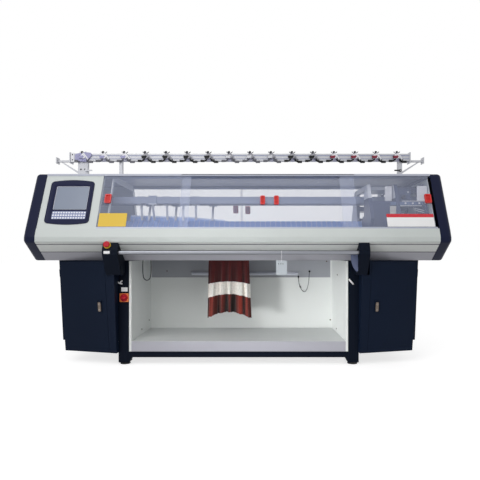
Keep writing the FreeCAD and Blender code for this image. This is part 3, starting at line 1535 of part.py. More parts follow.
def yarn_device(x):
    """A tension unit on the beam's front: plate, discs, knob on top and feeler below."""
    face = "(-stand_deep / 2)"
    plate = ("(%s)" % x)
    half = "device_wide / 2"
    return fuse(
        "yarn_device",
        box("device_plate", (f"{plate} - {half}", f"{plate} + {half}"), (f"{face} - device_plate", face),
            ("device_low_z", "device_high_z")),
        prism("device_discs", "-y", (plate, f"{face} - device_plate + 1", "disc_z"), "disc_radius",
              "disc_thick + 1", "small_sides"),
        box("device_knob", (f"{plate} - top_knob_half", f"{plate} + top_knob_half"),
            (f"{face} - device_plate", face), ("device_high_z - 1", "top_knob_high")),
        box("feeler", (f"{plate} - feeler_wide / 2", f"{plate} + feeler_wide / 2"),
            (f"{face} - device_plate", f"{face} - device_plate + feeler_wide"),
            ("feeler_low_z", "device_low_z + 1")),
        box("feeler_foot", (f"{plate} - feeler_wide / 2", f"{plate} + feeler_foot"),
            (f"{face} - device_plate", f"{face} - device_plate + feeler_wide"),
            ("feeler_low_z", "feeler_low_z + feeler_wide")),
    )


def yarn_devices():
    count = int(size("device_count"))
    pitch = "(2 * device_first / (device_count - 1))"
    units = [yarn_device(f"-device_first + {n} * {pitch}") for n in range(count)]
    node("yarn_devices", group("yarn_devices", *units))


for build in (base_frame, bed_beam, needle_beds, carriage_rails, carriage, belt_drive, yarn_rails,
              yarn_carriers, rollers, fairings, top_cover, end_caps, door_tracks, doors, panel,
              inner_walls, shoulders, main_switch, cabinets, compartment, cords, fabric,
              yarn_stand, yarn_devices):
    build()
doc.recompute()

failed = [o.Label for o in doc.Objects if {"Invalid", "Error"} & set(o.State)]
if failed:
    raise RuntimeError(f"these did not build: {failed}")
for name, obj in NODES.items():
    if obj.Shape.isNull() or not obj.Shape.isValid() or not obj.Shape.Solids:
        raise RuntimeError(f"{name} is not a valid solid")

os.makedirs("parts", exist_ok=True)
for name, obj in NODES.items():
    obj.Shape.exportStep(f"parts/{name}.step")
print(len(NODES), "sub-parts")
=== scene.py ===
"""Finishes, fine shapes, cloth and cords of a flat knitting machine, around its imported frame.

Shapes are worked out in millimetres, +X to the right, +Y to the back, +Z up, and become meshes in
metres. Each sub-assembly is a class that holds its sizes; each finish is named for its material.
"""

import json
import logging
import math
from collections.abc import Callable
from dataclasses import dataclass
from enum import Enum

import bmesh
import bpy
import numpy as np
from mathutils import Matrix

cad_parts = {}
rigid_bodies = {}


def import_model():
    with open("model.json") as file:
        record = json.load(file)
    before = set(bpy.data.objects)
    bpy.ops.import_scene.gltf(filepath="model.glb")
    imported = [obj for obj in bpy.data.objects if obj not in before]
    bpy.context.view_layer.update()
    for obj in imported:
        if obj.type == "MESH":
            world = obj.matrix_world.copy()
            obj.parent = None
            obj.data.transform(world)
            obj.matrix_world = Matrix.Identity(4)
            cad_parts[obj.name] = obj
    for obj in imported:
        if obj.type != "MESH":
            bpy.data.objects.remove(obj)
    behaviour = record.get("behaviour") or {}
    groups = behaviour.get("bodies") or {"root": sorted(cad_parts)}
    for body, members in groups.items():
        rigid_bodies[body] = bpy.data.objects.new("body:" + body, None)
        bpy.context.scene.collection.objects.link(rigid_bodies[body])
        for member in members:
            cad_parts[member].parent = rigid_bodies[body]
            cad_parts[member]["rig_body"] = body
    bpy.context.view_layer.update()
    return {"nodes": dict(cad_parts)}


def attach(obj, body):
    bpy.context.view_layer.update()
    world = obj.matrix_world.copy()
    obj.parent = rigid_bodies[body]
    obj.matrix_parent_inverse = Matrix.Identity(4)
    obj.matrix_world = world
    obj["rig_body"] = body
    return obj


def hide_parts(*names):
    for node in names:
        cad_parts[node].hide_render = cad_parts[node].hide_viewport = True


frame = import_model()

Array = np.ndarray
Test = Callable[[Array], Array]
Tree = bpy.types.NodeTree
Socket = bpy.types.NodeSocket
Piece = bpy.types.Object
Colour = tuple[float, ...]
Pair = tuple[float, float]
Spot = tuple[float, float, float]
Box = tuple[float, float, float, float]  # left, right, low and high
LOG = logging.getLogger("knitting_machine")
METRE = 0.001  # one millimetre, in metres
SHARP_DEGREES = 35.0  # an edge that turns by more looks sharp, and is bevelled
MIX_A, MIX_B, MIX_OUT = 6, 7, 2  # the colour sockets of a Mix node


def linear(code: str) -> Colour:
    """Linear colour of an sRGB hex code: a channel up to 0.04045 is divided by 12.92, and any other
    has 0.055 added, is divided by 1.055 and raised to the power 2.4.

    Args:
        code: the colour, such as "#C9D1CD".
    Returns:
        Red, green, blue and an alpha of 1.
    """
    channels = [int(code[n:n + 2], 16) / 255 for n in (1, 3, 5)]
    red, green, blue = (c / 12.92 if c <= 0.04045 else ((c + 0.055) / 1.055) ** 2.4 for c in channels)
    return red, green, blue, 1.0


def add_node(tree: Tree, kind: str, inputs: dict | None = None, **settings) -> bpy.types.Node:
    """Adds a node, with its settings, its input values and its links.

    Args:
        tree: the node tree that takes it.
        kind: the node's type, without the ShaderNode it starts with.
        inputs: a value or a socket to link, for each input's name or number.
        settings: the node's own properties.
    Returns:
        The node.
    """
    node = tree.nodes.new(f"ShaderNode{kind}")
    for name, value in settings.items():
        setattr(node, name, value)
    for name, value in (inputs or {}).items():
        if isinstance(value, Socket):
            tree.links.new(value, node.inputs[name])
        else:
            node.inputs[name].default_value = value
    return node


def seen(tree: Tree) -> Socket:
    """1 where the eye looks straight, by a reflection or through a clear sheet, and 0 for light: the
    greatest of the three kinds of ray.

    Args:
        tree: the node tree of the sky or the floor.
    Returns:
        The socket.
    """
    path = add_node(tree, "LightPath").outputs
    found = path["Is Camera Ray"]
    for kind in ("Is Glossy Ray", "Is Transmission Ray"):
        found = add_node(tree, "Math", {0: found, 1: path[kind]}, operation="MAXIMUM").outputs[0]
    return found


# --- finishes


@dataclass(frozen=True)
class Finish:
    """A surface: its colour wanders a little in soft clouds, and a fine grain breaks its gloss. The
    unit is how long a millimetre is in the pattern's place, and detail is the noise's own."""

    name: str
    colour: str
    roughness: float = 0.5
    metallic: float = 0.0
    wander: float = 0.05
    cloud_mm: float = 240.0
    grain_mm: float = 3.0
    grain_high_mm: float = 0.03
    stretch: Spot = (1.0, 1.0, 1.0)
    coat: float = 0.0
    alpha: float = 1.0
    sheen: float = 0.0
    specular: float = 0.5
    unit: float = METRE
    detail: float = 3.0

    def place(self, tree: Tree) -> Socket:
        """The pattern's place: the object's own coordinates, stretched along the making's direction."""
        spot = add_node(tree, "TexCoord").outputs["Object"]
        return add_node(tree, "Mapping", {"Vector": spot, "Scale": self.stretch}).outputs[0]

    def patches(self, tree: Tree, place: Socket, size_mm: float) -> Socket:
        """Soft random patches, from 0 to 1 and about size_mm across."""
        inputs = {"Vector": place, "Scale": 1.0 / (size_mm * self.unit), "Detail": self.detail}
        return add_node(tree, "TexNoise", inputs).outputs[0]

    def tone(self, tree: Tree, place: Socket) -> Socket:
        """The colour, from a little darker to a little lighter with the clouds.

        Args:
            tree: the material's node tree.
            place: the pattern's place.
        Returns:
            The colour's socket.
        """
        base = linear(self.colour)[:3]
        darker, lighter = ((*(c * share for c in base), 1.0) for share in (1 - self.wander, 1 + self.wander))
        inputs = {"Factor": self.patches(tree, place, self.cloud_mm), MIX_A: darker, MIX_B: lighter}
        return add_node(tree, "Mix", inputs, data_type="RGBA").outputs[MIX_OUT]

    def relief(self, tree: Tree, place: Socket) -> Socket:
        """The grain's height as a bent normal."""
        inputs = {"Height": self.patches(tree, place, self.grain_mm), "Distance": self.grain_high_mm * METRE}
        return add_node(tree, "Bump", inputs).outputs[0]

    def gloss(self, tree: Tree, place: Socket) -> Socket:
        """The roughness, which wanders by a tenth with clouds a third as wide as the colour's.

        Args:
            tree: the material's node tree.
            place: the pattern's place.
        Returns:
            The roughness's socket.
        """
        clouds = self.patches(tree, place, self.cloud_mm / 3)
        inputs = {"Value": clouds, "To Min": self.roughness * 0.9, "To Max": self.roughness * 1.1}
        return add_node(tree, "MapRange", inputs).outputs[0]

    def material(self) -> bpy.types.Material:
        """The finish as a material, made once and then shared.

        Returns:
            The material.
        """
        if self.name in bpy.data.materials:
            return bpy.data.materials[self.name]
        made = bpy.data.materials.new(self.name)
        made.use_nodes = True
        tree = made.node_tree
        tree.nodes.clear()
        place = self.place(tree)
        shader = add_node(tree, "BsdfPrincipled", {
            "Base Color": self.tone(tree, place),
            "Roughness": self.gloss(tree, place),
            "Normal": self.relief(tree, place),
            "Metallic": self.metallic,
            "Coat Weight": self.coat,
            "Coat Roughness": 0.12,
            "Sheen Weight": self.sheen,
            "Specular IOR Level": self.specular,
            "Alpha": self.alpha,
        })
        add_node(tree, "OutputMaterial", {"Surface": shader.outputs[0]})
        if self.alpha < 1:
            made.surface_render_method = "BLENDED"
        return made


@dataclass(frozen=True)
class PowderCoat(Finish):
    """Polyester powder, baked on sheet steel: an even satin skin with a fine orange peel."""

    roughness: float = 0.42
    grain_mm: float = 4.0
    grain_high_mm: float = 0.04


@dataclass(frozen=True)
class DarkPowderCoat(PowderCoat):
    """The same skin in a dark, matting grade: little of the room shows in it, so it stays deep."""

    roughness: float = 0.5
    wander: float = 0.12
    cloud_mm: float = 420.0
    specular: float = 0.07


@dataclass(frozen=True)
class MouldedPlastic(Finish):
    """Injection-moulded plastic: a fine spark-eroded grain and a soft, wide highlight."""

    roughness: float = 0.48
    wander: float = 0.03
    grain_mm: float = 1.5
    grain_high_mm: float = 0.02


@dataclass(frozen=True)
class Polycarbonate(Finish):
    """Clear sheet with a light scatter: things behind it look paler, bluer and softer."""

    roughness: float = 0.16
    wander: float = 0.02
    grain_mm: float = 60.0
    grain_high_mm: float = 0.05


@dataclass(frozen=True)
class Anodised(Finish):
    """Extruded aluminium, etched and anodised: a matt silver with faint lines along the bar."""

    metallic: float = 0.75
    roughness: float = 0.38
    stretch: Spot = (0.05, 1.0, 1.0)
    grain_mm: float = 2.0
    grain_high_mm: float = 0.01


@dataclass(frozen=True)
class GroundSteel(Finish):
    """Tool steel, ground across its length: bright, with short lines down the bed's slope."""

    metallic: float = 0.85
    roughness: float = 0.3
    stretch: Spot = (1.0, 0.08, 0.08)
    grain_mm: float = 1.5
    grain_high_mm: float = 0.01


@dataclass(frozen=True)
class Rubber(Finish):
    """Black rubber: matt, dusty grey on top of its highlight."""

    roughness: float = 0.8
    grain_mm: float = 1.0
    grain_high_mm: float = 0.05


@dataclass(frozen=True)
class FlatKnit(Finish):
    """Plain jersey in three bands: ribs up the cloth and courses across it, from the piece's own UV in
    millimetres. The real loops are about 1.8 mm wide; they are drawn 5 mm wide, so that they show."""

    roughness: float = 0.9
    sheen: float = 0.25
    unit: float = 1.0
    detail: float = 2.0
    rib_mm: float = 5.0
    course_mm: float = 4.0
    loop_high_mm: float = 0.5
    patch_mm: float = 9.0
    patch_dull: Pair = (0.65, 1.35)
    # Painted shade: the further back the cloth lies, over this depth, the more each band runs to its darker
    # tone below.
    painted_shade_mm: float = 18.0
    fold_painted_shade: str = "#1C0607"
    cream: str = "#FFFDF6"
    cream_painted_shade: str = "#F0EAE2"
    rust: str = "#82281B"
    rust_painted_shade: str = "#1A0705"
    first_band_mm: float = 182.0
    second_band_mm: float = 288.0

    def place(self, tree: Tree) -> Socket:
        """The cloth's own width and length, in millimetres."""
        return add_node(tree, "UVMap", uv_map="cloth_mm").outputs[0]

    def tone(self, tree: Tree, place: Socket) -> Socket:
        """Dark red, then cream, then rust, each broken by darker gaps between the loops, and darker the
        deeper the cloth lies back in a valley: painted shade, set by depth rather than cast by the lamps.
        The cream, which scatters more, darkens less.

        Args:
            tree: the material's node tree.
            place: the place on the flat cloth.
        Returns:
            The colour's socket.
        """
        length = add_node(tree, "SeparateXYZ", {0: place}).outputs[1]
        spot = add_node(tree, "TexCoord").outputs["Object"]
        depth = add_node(tree, "SeparateXYZ", {0: spot}).outputs[1]
        deepest = self.painted_shade_mm * METRE
        inputs = {"Value": depth, "From Min": -0.8 * deepest, "From Max": deepest}
        depth = add_node(tree, "MapRange", inputs).outputs[0]
        tones = [linear(self.colour), linear(self.fold_painted_shade)]
        for start, *codes in ((self.first_band_mm, self.cream, self.cream_painted_shade),
                              (self.second_band_mm, self.rust, self.rust_painted_shade)):
            past = add_node(tree, "Math", {0: length, 1: start}, operation="GREATER_THAN").outputs[0]
            for n, code in enumerate(codes):
                inputs = {"Factor": past, MIX_A: tones[n], MIX_B: linear(code)}
                tones[n] = add_node(tree, "Mix", inputs, data_type="RGBA").outputs[MIX_OUT]
        inputs = {"Factor": depth, MIX_A: tones[0], MIX_B: tones[1]}
        colour = add_node(tree, "Mix", inputs, data_type="RGBA").outputs[MIX_OUT]
        low, high = self.patch_dull
        inputs = {"Value": self.patches(tree, place, self.patch_mm), "To Min": low, "To Max": high}
        dull = add_node(tree, "MapRange", inputs).outputs[0]
        inputs = {"Factor": 1.0, MIX_A: colour, MIX_B: dull}
        return add_node(tree, "Mix", inputs, data_type="RGBA", blend_type="MULTIPLY").outputs[MIX_OUT]

    def relief(self, tree: Tree, place: Socket) -> Socket:
        """Height of the loops: the sine across the ribs plus half the sine along the courses.

        Args:
            tree: the material's node tree.
            place: the place on the flat cloth.
        Returns:
            The normal's socket.
        """
        across, along = add_node(tree, "SeparateXYZ", {0: place}).outputs[:2]
        waves = []
        for way, pitch in ((across, self.rib_mm), (along, self.course_mm)):
            turn = add_node(tree, "Math", {0: way, 1: 2 * math.pi / pitch}, operation="MULTIPLY").outputs[0]
            waves.append(add_node(tree, "Math", {0: turn}, operation="SINE").outputs[0])
        high = add_node(tree, "Math", {0: waves[1], 1: 0.5, 2: waves[0]}, operation="MULTIPLY_ADD").outputs[0]
        inputs = {"Height": high, "Distance": self.loop_high_mm * METRE, "Strength": 0.7}
        return add_node(tree, "Bump", inputs).outputs[0]


# Pale powder coats: even and satin, so that each bend of the sheet is a soft step in tone. The dark
# ones stay nearly black, without glare.
HOUSING_PAINT = PowderCoat("light_grey_powder_coat", "#C9CFCD")
# A darker lilac grey that paints shade: on the housing's lower skirt and on the tray's front lip.
PAINTED_SHADE_GREY = PowderCoat("lilac_grey_powder_coat", "#AFAFB8")
CABINET_PAINT = DarkPowderCoat("dark_blue_powder_coat", "#101A2C")
FRAME_PAINT = DarkPowderCoat("blue_black_powder_coat", "#0A111E")
BEAM_PAINT = PowderCoat("pale_grey_powder_coat", "#B4B8C6")
LINING_PAINT = PowderCoat("white_powder_coat", "#EBEEEC", wander=0.02, roughness=0.5)
TRAY_PAINT = PowderCoat("off_white_powder_coat", "#D6D9D8", wander=0.03, roughness=0.5)
UPPER_LINING_PAINT = PowderCoat("grey_powder_coat", "#A6A9B0", roughness=0.5)
CARRIAGE_PAINT = PowderCoat("steel_blue_powder_coat", "#1F2D50")
PALE_CARRIAGE_PAINT = PowderCoat("light_grey_cast_coat", "#DDE0E6")
DECK_PAINT = PowderCoat("blue_grey_powder_coat", "#5F7092")
BRACKET_PAINT = PowderCoat("slate_blue_powder_coat", "#4F5876")

# Moulded plastics: flat, clean colour, and a soft light along each rounded edge.
CAP_PLASTIC = MouldedPlastic("navy_moulded_abs", "#0C1432", roughness=0.4, cloud_mm=500, specular=0.15)
BEZEL_PLASTIC = MouldedPlastic("dark_blue_moulded_abs", "#0D1438", roughness=0.35, specular=0.15)
BLACK_PLASTIC = MouldedPlastic("black_moulded_nylon", "#0E0F12", specular=0.25)
CREAM_PLASTIC = MouldedPlastic("cream_moulded_nylon", "#D9D6CC")
MAROON_PLASTIC = MouldedPlastic("maroon_moulded_nylon", "#7C1730")
GREY_PLASTIC = MouldedPlastic("grey_moulded_nylon", "#A3A3AA")
SLATE_PLASTIC = MouldedPlastic("slate_moulded_nylon", "#5C5C64")
WHITE_PLASTIC = MouldedPlastic("white_moulded_nylon", "#F0F0F4")
LILAC_PLASTIC = MouldedPlastic("lilac_moulded_nylon", "#A3A2C6")
RED_PULL = MouldedPlastic("red_moulded_abs", "#D93330", roughness=0.4)
STOP_RED = MouldedPlastic("signal_red_plastic", "#B5152A", roughness=0.5, specular=0.25)
STOP_YELLOW = MouldedPlastic("signal_yellow_plastic", "#E8B92E", roughness=0.35)
SWITCH_ORANGE = MouldedPlastic("orange_yellow_plastic", "#D9722A", roughness=0.4)
KEY_PLATE = MouldedPlastic("slate_membrane", "#7F88AD", roughness=0.55)
KEY_PLASTIC = MouldedPlastic("white_key_dome", "#E9EBF4", roughness=0.45)
LAMP_DIFFUSER = MouldedPlastic("opal_acrylic", "#C9CCD8", roughness=0.4)

# Clear sheets: a thin cool veil; on the rear panes a warm, whiter veil that paints the daylight behind the
# machine; and a paler line where a sheet is sawn.
CLEAR_PANE = Polycarbonate("clear_polycarbonate", "#D5DEFA", alpha=0.14, specular=0.25)
REAR_PANE_PAINTED_DAYLIGHT = Polycarbonate("warm_clear_polycarbonate", "#FFF6E8", alpha=0.16, specular=0.25)
PANE_EDGE = Polycarbonate("sawn_polycarbonate_edge", "#F0F3FC", alpha=0.4, roughness=0.5)

# Etched glass: a dull grey-blue that mirrors nothing sharp.
SCREEN_GLASS = Finish("etched_screen_glass", "#7C8699", roughness=0.35, coat=0.2, cloud_mm=300,
                      grain_mm=8, grain_high_mm=0.005)

# Anodised bars: matt silver, with no mirror in it.
ALUMINIUM = Anodised("silver_anodised_aluminium", "#C6C7CC", metallic=0.25, roughness=0.45)
TRACK_ALUMINIUM = Anodised("track_anodised_aluminium", "#A9AEBD", metallic=0.4, roughness=0.5)

# Ground tool steel: a blue-grey sheen, brighter on the needles, which slide polished.
BED_STEEL = GroundSteel("ground_bed_steel", "#8DB0F2", metallic=0.25)
NEEDLE_STEEL = GroundSteel("polished_needle_steel", "#C4D4F6", roughness=0.3, metallic=0.4)

# Matt nickel plate: a pale metal with hardly a highlight.
CARRIER_STEEL = Finish("matt_nickel_plate", "#D6D8DE", metallic=0.3, roughness=0.5, wander=0.03,
                       cloud_mm=30, grain_mm=1, grain_high_mm=0.01)

# Bright drawn steel and satin chrome: streaks of light along the bar, and dark under it.
RAIL_STEEL = Finish("bright_drawn_steel", "#8790A6", metallic=0.4, roughness=0.35,
                    stretch=(0.04, 1, 1), grain_mm=2, grain_high_mm=0.01)
CHROME = Finish("satin_chrome", "#888A91", metallic=1.0, roughness=0.3, wander=0.02,
                stretch=(0.04, 1, 1), grain_mm=1.5, grain_high_mm=0.005)

# Passivated zinc and worn nickel: brown-grey and blotched, dull where hands and air were.
ZINC = Finish("passivated_zinc", "#70655C", metallic=0.8, roughness=0.42, wander=0.15, cloud_mm=14,
              grain_mm=1.5, grain_high_mm=0.02)
LOCK_FACE = Finish("worn_nickel_plate", "#8A7F77", metallic=0.6, roughness=0.45, cloud_mm=8, wander=0.1,
                   grain_mm=1.2, grain_high_mm=0.01)

# Rubbers and cotton: hardly any shine. The cords' sheath has a faint line of light.
BELT_RUBBER = Rubber("black_belt_rubber", "#1D1E21")
ROLLER_RUBBER = Rubber("roller_rubber", "#2B2C30")
FOOT_RUBBER = Rubber("foot_rubber", "#15161A")
CORD_PLASTIC = MouldedPlastic("dark_pvc_sheath", "#23242E", roughness=0.45)
STRING_COTTON = Finish("white_cotton_string", "#E8E8EC", roughness=0.9, wander=0.03, grain_mm=1.5,
                       grain_high_mm=0.02)

# Card and printed vinyl: flat, even colour, with no grain to see.
CARD_STOCK = Finish("white_card", "#B2B9BF", roughness=0.7, wander=0.01, grain_mm=0.8,
                    grain_high_mm=0.01)
YELLOW_PLATE = Finish("yellow_printed_vinyl", "#DDB82C", roughness=0.45, wander=0.02)
WHITE_PLATE = Finish("white_printed_vinyl", "#F1F1F2", roughness=0.45, wander=0.01)
RED_BAND = Finish("red_printed_vinyl", "#CE2636", roughness=0.45, wander=0.02)

# Nylon bristle: each tuft a little lighter or darker than the next.
BRISTLE = Finish("nylon_bristle", "#7482A8", roughness=0.7, wander=0.3, cloud_mm=5)

# Jersey: matt, soft at its edges, with painted shade that darkens the valleys between the folds.
KNIT = FlatKnit("jersey_knit", "#5E1416")


# --- shapes


class Axis(Enum):
    """The way an outline is carried, as the places of its two coordinates and of its height."""

    X = (1, 2, 0)
    Y = (0, 2, 1)
    Z = (0, 1, 2)


class Side(Enum):
    """A side of the machine, as the sign of X."""

    LEFT = -1
    RIGHT = 1


@dataclass
class Shape:
    """A mesh in the making: points in millimetres, and blocks of faces, each with its finish's number."""

    points: Array
    faces: list[tuple[Array, int]]

    def tinted(self, tint: int) -> "Shape":
        """The same shape with all its faces in one finish."""
        return Shape(self.points, [(rows, tint) for rows, _ in self.faces])

    def moved(self, x: float = 0.0, y: float = 0.0, z: float = 0.0) -> "Shape":
        """The same shape, shifted."""
        return Shape(self.points + np.array([x, y, z], float), self.faces)

    def scaled(self, x: float = 1.0, y: float = 1.0, z: float = 1.0) -> "Shape":
        """The same shape with each coordinate times a factor; build() turns faces outwards again."""
        return Shape(self.points * np.array([x, y, z], float), self.faces)


@dataclass(frozen=True)
class Place:
    """A local frame: its origin, and the directions of its three axes as the rows of a matrix."""

    origin: Spot
    axes: tuple[Spot, ...]

    def put(self, shape: Shape) -> Shape:
        """The shape in the machine's frame: origin plus each coordinate times its axis."""
        return Shape(np.array(self.origin, float) + shape.points @ np.array(self.axes, float), shape.faces)

    def point(self, x: float, depth: float, up: float) -> Array:
        """One point of the local frame, in the machine's frame."""
        return np.array(self.origin, float) + np.array([x, depth, up], float) @ np.array(self.axes, float)


FORWARD, RIGHT, DOWN = np.array([(0, -1, 0), (1, 0, 0), (0, 0, -1)], float)
UPRIGHT = ((1, 0, 0), (0, 0, 1), (0, -1, 0))  # the axes that turn a shape about Z to the front
REAR_EXTRA = 33.61  # the rear is the front mirrored in Y and moved back by this many millimetres
LEAN = math.radians(21.9)  # how far the doors lean back
COS, SIN = math.cos(LEAN), math.sin(LEAN)
DOOR = Place((0, -411, 927), ((1, 0, 0), (0, COS, -SIN), (0, SIN, COS)))
REAR_DOOR = Place((0, REAR_EXTRA + 411, 927), ((1, 0, 0), (0, -COS, -SIN), (0, -SIN, COS)))
HALF_ROOT = math.sqrt(0.5)
FRONT_BED = Place((0, -8, 1005), ((1, 0, 0), (0, HALF_ROOT, HALF_ROOT), (0, -HALF_ROOT, HALF_ROOT)))


def join(shapes: list[Shape]) -> Shape:
    """Several shapes as one: each shape's point numbers grow by the points before it.

    Args:
        shapes: the shapes, in the order of their faces.
    Returns:
        The one shape.
    """
    starts = np.cumsum([0] + [len(s.points) for s in shapes])
    points = np.concatenate([s.points for s in shapes])
    return Shape(points, [(rows + start, tint) for s, start in zip(shapes, starts) for rows, tint in s.faces])


def stack(rings: Array, ends: bool = True) -> Shape:
    """A skin over rings of equal count: a quad joins point j of ring i with point j + 1 and with
    the same two of ring i + 1, and each end is one face.

    Args:
        rings: (rings, points, 3) in millimetres.
        ends: whether the ends are closed.
    Returns:
        The shape.
    """
    rows, count = rings.shape[:2]
    number = np.arange(rows * count).reshape(rows, count)
    ahead = np.roll(number, -1, axis=1)
    quads = np.stack([number[:-1], ahead[:-1], ahead[1:], number[1:]], axis=-1).reshape(-1, 4)
    faces = [(quads, 0)]
    if ends:
        faces += [(number[:1, ::-1], 0), (number[-1:], 0)]
    return Shape(rings.reshape(-1, 3), faces)


def rounded(corners: Array | list[Pair], radius: float | Array, steps: int = 4) -> Array:
    """An outline with its corners rounded. At each corner the arc's centre lies on the bisector, at
    the radius over the sine of half the corner's angle, and the arc runs between the two tangent
    points, which lie the radius over the tangent of that half angle along the sides.

    Args:
        corners: (n, 2) corners in order.
        radius: one radius, or one for each corner.
        steps: how many straight bits each arc has.
    Returns:
        (n * (steps + 1), 2) points.
    """
    corners = np.asarray(corners, float)
    size = np.broadcast_to(np.asarray(radius, float), (len(corners),))[:, None]
    back = np.roll(corners, 1, axis=0) - corners
    ahead = np.roll(corners, -1, axis=0) - corners
    back /= np.linalg.norm(back, axis=1, keepdims=True)
    ahead /= np.linalg.norm(ahead, axis=1, keepdims=True)
    half = np.arccos(np.clip((back * ahead).sum(1, keepdims=True), -1, 1)) / 2
    bisector = (back + ahead) / np.linalg.norm(back + ahead, axis=1, keepdims=True)
    centre = corners + bisector * size / np.sin(half)
    start = corners + back * size / np.tan(half) - centre
    end = corners + ahead * size / np.tan(half) - centre
    turn = (math.pi - 2 * half)[:, None]
    share = np.linspace(0, 1, steps + 1)[None, :, None]
    arc = (np.sin((1 - share) * turn) * start[:, None] + np.sin(share * turn) * end[:, None]) / np.sin(turn)
    return (centre[:, None] + arc).reshape(-1, 2)


def rectangle(left: float, right: float, low: float, high: float) -> Array:
    """A rectangle's four corners, anticlockwise."""
    return np.array([(left, low), (right, low), (right, high), (left, high)], float)


def inset(outline: Array, depth: float) -> Array:
    """An anticlockwise outline moved inwards: each side shifts along its left-hand normal by the
    depth, and each new corner is where two shifted sides cross.

    Args:
        outline: (n, 2) corners.
        depth: how far, in millimetres.
    Returns:
        (n, 2) corners.
    """
    ahead = np.roll(outline, -1, axis=0) - outline
    normal = np.stack([-ahead[:, 1], ahead[:, 0]], axis=1)
    normal /= np.linalg.norm(normal, axis=1, keepdims=True)
    reach = (normal * outline).sum(1) + depth
    pairs = np.stack([np.roll(normal, 1, axis=0), normal], axis=1)
    wanted = np.stack([np.roll(reach, 1), reach], axis=1)
    return np.linalg.solve(pairs, wanted[..., None])[..., 0]


def rings_of(outlines: list[Array], heights: list[float], axis: Axis) -> Array:
    """Outlines of equal count set at their heights along an axis, as (outlines, points, 3).

    Args:
        outlines: (points, 2) outlines.
        heights: a height for each, in millimetres.
        axis: the axis that the heights are along.
    Returns:
        The rings.
    """
    first, second, third = axis.value
    rings = np.empty((len(outlines), len(outlines[0]), 3))
    rings[:, :, (first, second)] = np.stack(outlines)
    rings[:, :, third] = np.array(heights, float)[:, None]
    return rings


def slab(outline: Array, low: float, high: float, axis: Axis) -> Shape:
    """An outline carried straight from one height to another; its sides are block 0, its ends after."""
    return stack(rings_of([outline, outline], [low, high], axis))


def block(x: Pair, y: Pair, z: Pair) -> Shape:
    """A bar between two corners, to be joined with others and bevelled."""
    return slab(rectangle(*x, *y), *z, Axis.Z)


def panel(box: Box, radius: float, steps: int, front: float, back: float) -> Shape:
    """A plate across the view, with rounded corners, between two depths."""
    return slab(rounded(rectangle(*box), radius, steps), front, back, Axis.Y)


def lathe(profile: list[Pair], sides: int = 32) -> Shape:
    """A turned shape about Z: each (radius, height) of the profile becomes a ring of that radius.

    Args:
        profile: (radius, height) pairs in millimetres, in order.
        sides: the rings' corners.
    Returns:
        The shape, closed at both ends.
    """
    radius, height = np.array(profile, float).T
    turn = np.linspace(0, 2 * math.pi, sides, endpoint=False)
    rings = np.empty((len(radius), sides, 3))
    rings[:, :, 0] = radius[:, None] * np.cos(turn)
    rings[:, :, 1] = radius[:, None] * np.sin(turn)
    rings[:, :, 2] = height[:, None]
    return stack(rings)


def tube(path: Array, radius: float | Array, sides: int = 8) -> Shape:
    """A round bar along a path: each ring lies square to the path's direction there, which is the
    difference of its neighbours; the ring's first axis is that direction's cross with the axis it is
    least along.

    Args:
        path: (n, 3) points in millimetres.
        radius: one radius, or one for each point.
        sides: the ring's corners.
    Returns:
        The shape, closed at its ends.
    """
    path = np.asarray(path, float)
    along = np.gradient(path, axis=0)
    along /= np.linalg.norm(along, axis=1, keepdims=True)
    beside = np.cross(along, np.eye(3)[np.argmin(np.abs(along).max(axis=0))])
    beside /= np.linalg.norm(beside, axis=1, keepdims=True)
    above = np.cross(along, beside)
    turn = np.linspace(0, 2 * math.pi, sides, endpoint=False)[None, :, None]
    size = np.broadcast_to(np.asarray(radius, float), (len(path),))[:, None, None]
    ring = np.cos(turn) * beside[:, None] + np.sin(turn) * above[:, None]
    return stack(path[:, None] + size * ring)


def facing(shape: Shape, spot: Spot, forward: Array | Spot) -> Shape:
    """A turned shape set with its Z along a direction: its X is that direction's cross with +X or,
    for a direction near X, with +Z.

    Args:
        shape: the shape about Z.
        spot: where its origin goes.
        forward: the direction.
    Returns:
        The shape in place.
    """
    third = np.asarray(forward, float) / np.linalg.norm(forward)
    helper = np.array([0.0, 0.0, 1.0]) if abs(third[0]) > 0.9 else np.array([1.0, 0.0, 0.0])
    first = np.cross(helper, third)
    first /= np.linalg.norm(first)
    axes = (tuple(first), tuple(np.cross(third, first)), tuple(third))
    return Place(spot, axes).put(shape)


def turned(profile: list[Pair], sides: int, spot: Spot, way: Array | Spot = FORWARD, tint: int = 0) -> Shape:
    """A turned shape, from its (radius, height) profile, set at a spot along a direction."""
    return facing(lathe(profile, sides), spot, way).tinted(tint)


# --- pieces


def placed(name: str, data: bpy.types.ID) -> Piece:
    """An object round its data, put into the scene.

    Args:
        name: the object's name.
        data: its mesh, curve, camera or lamp.
    Returns:
        The object.
    """
    made = bpy.data.objects.new(name, data)
    bpy.context.scene.collection.objects.link(made)
    return made


def carried(piece: Piece, body: str, nodes: tuple[str, ...]) -> Piece:
    """Attaches a finished piece to its body, hides the CAD nodes it stands for, and reports it.

    Args:
        piece: the finished piece.
        body: the CAD body that carries it.
        nodes: the CAD nodes it stands for.
    Returns:
        The piece.
    """
    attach(piece, body)
    if nodes:
        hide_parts(*nodes)
    LOG.info("%s rides on %s", piece.name, body)
    return piece


def bevelled(piece: Piece, width: float) -> None:
    """Breaks a piece's sharp edges by a width in millimetres: two steps, square to the faces.

    Args:
        piece: the piece.
        width: the bevel's width, in millimetres.
    """
    edge = piece.modifiers.new("Broken edges", "BEVEL")
    edge.width = width * METRE
    edge.segments = 2
    edge.limit_method = "ANGLE"
    edge.angle_limit = math.radians(SHARP_DEGREES)
    edge.harden_normals = True


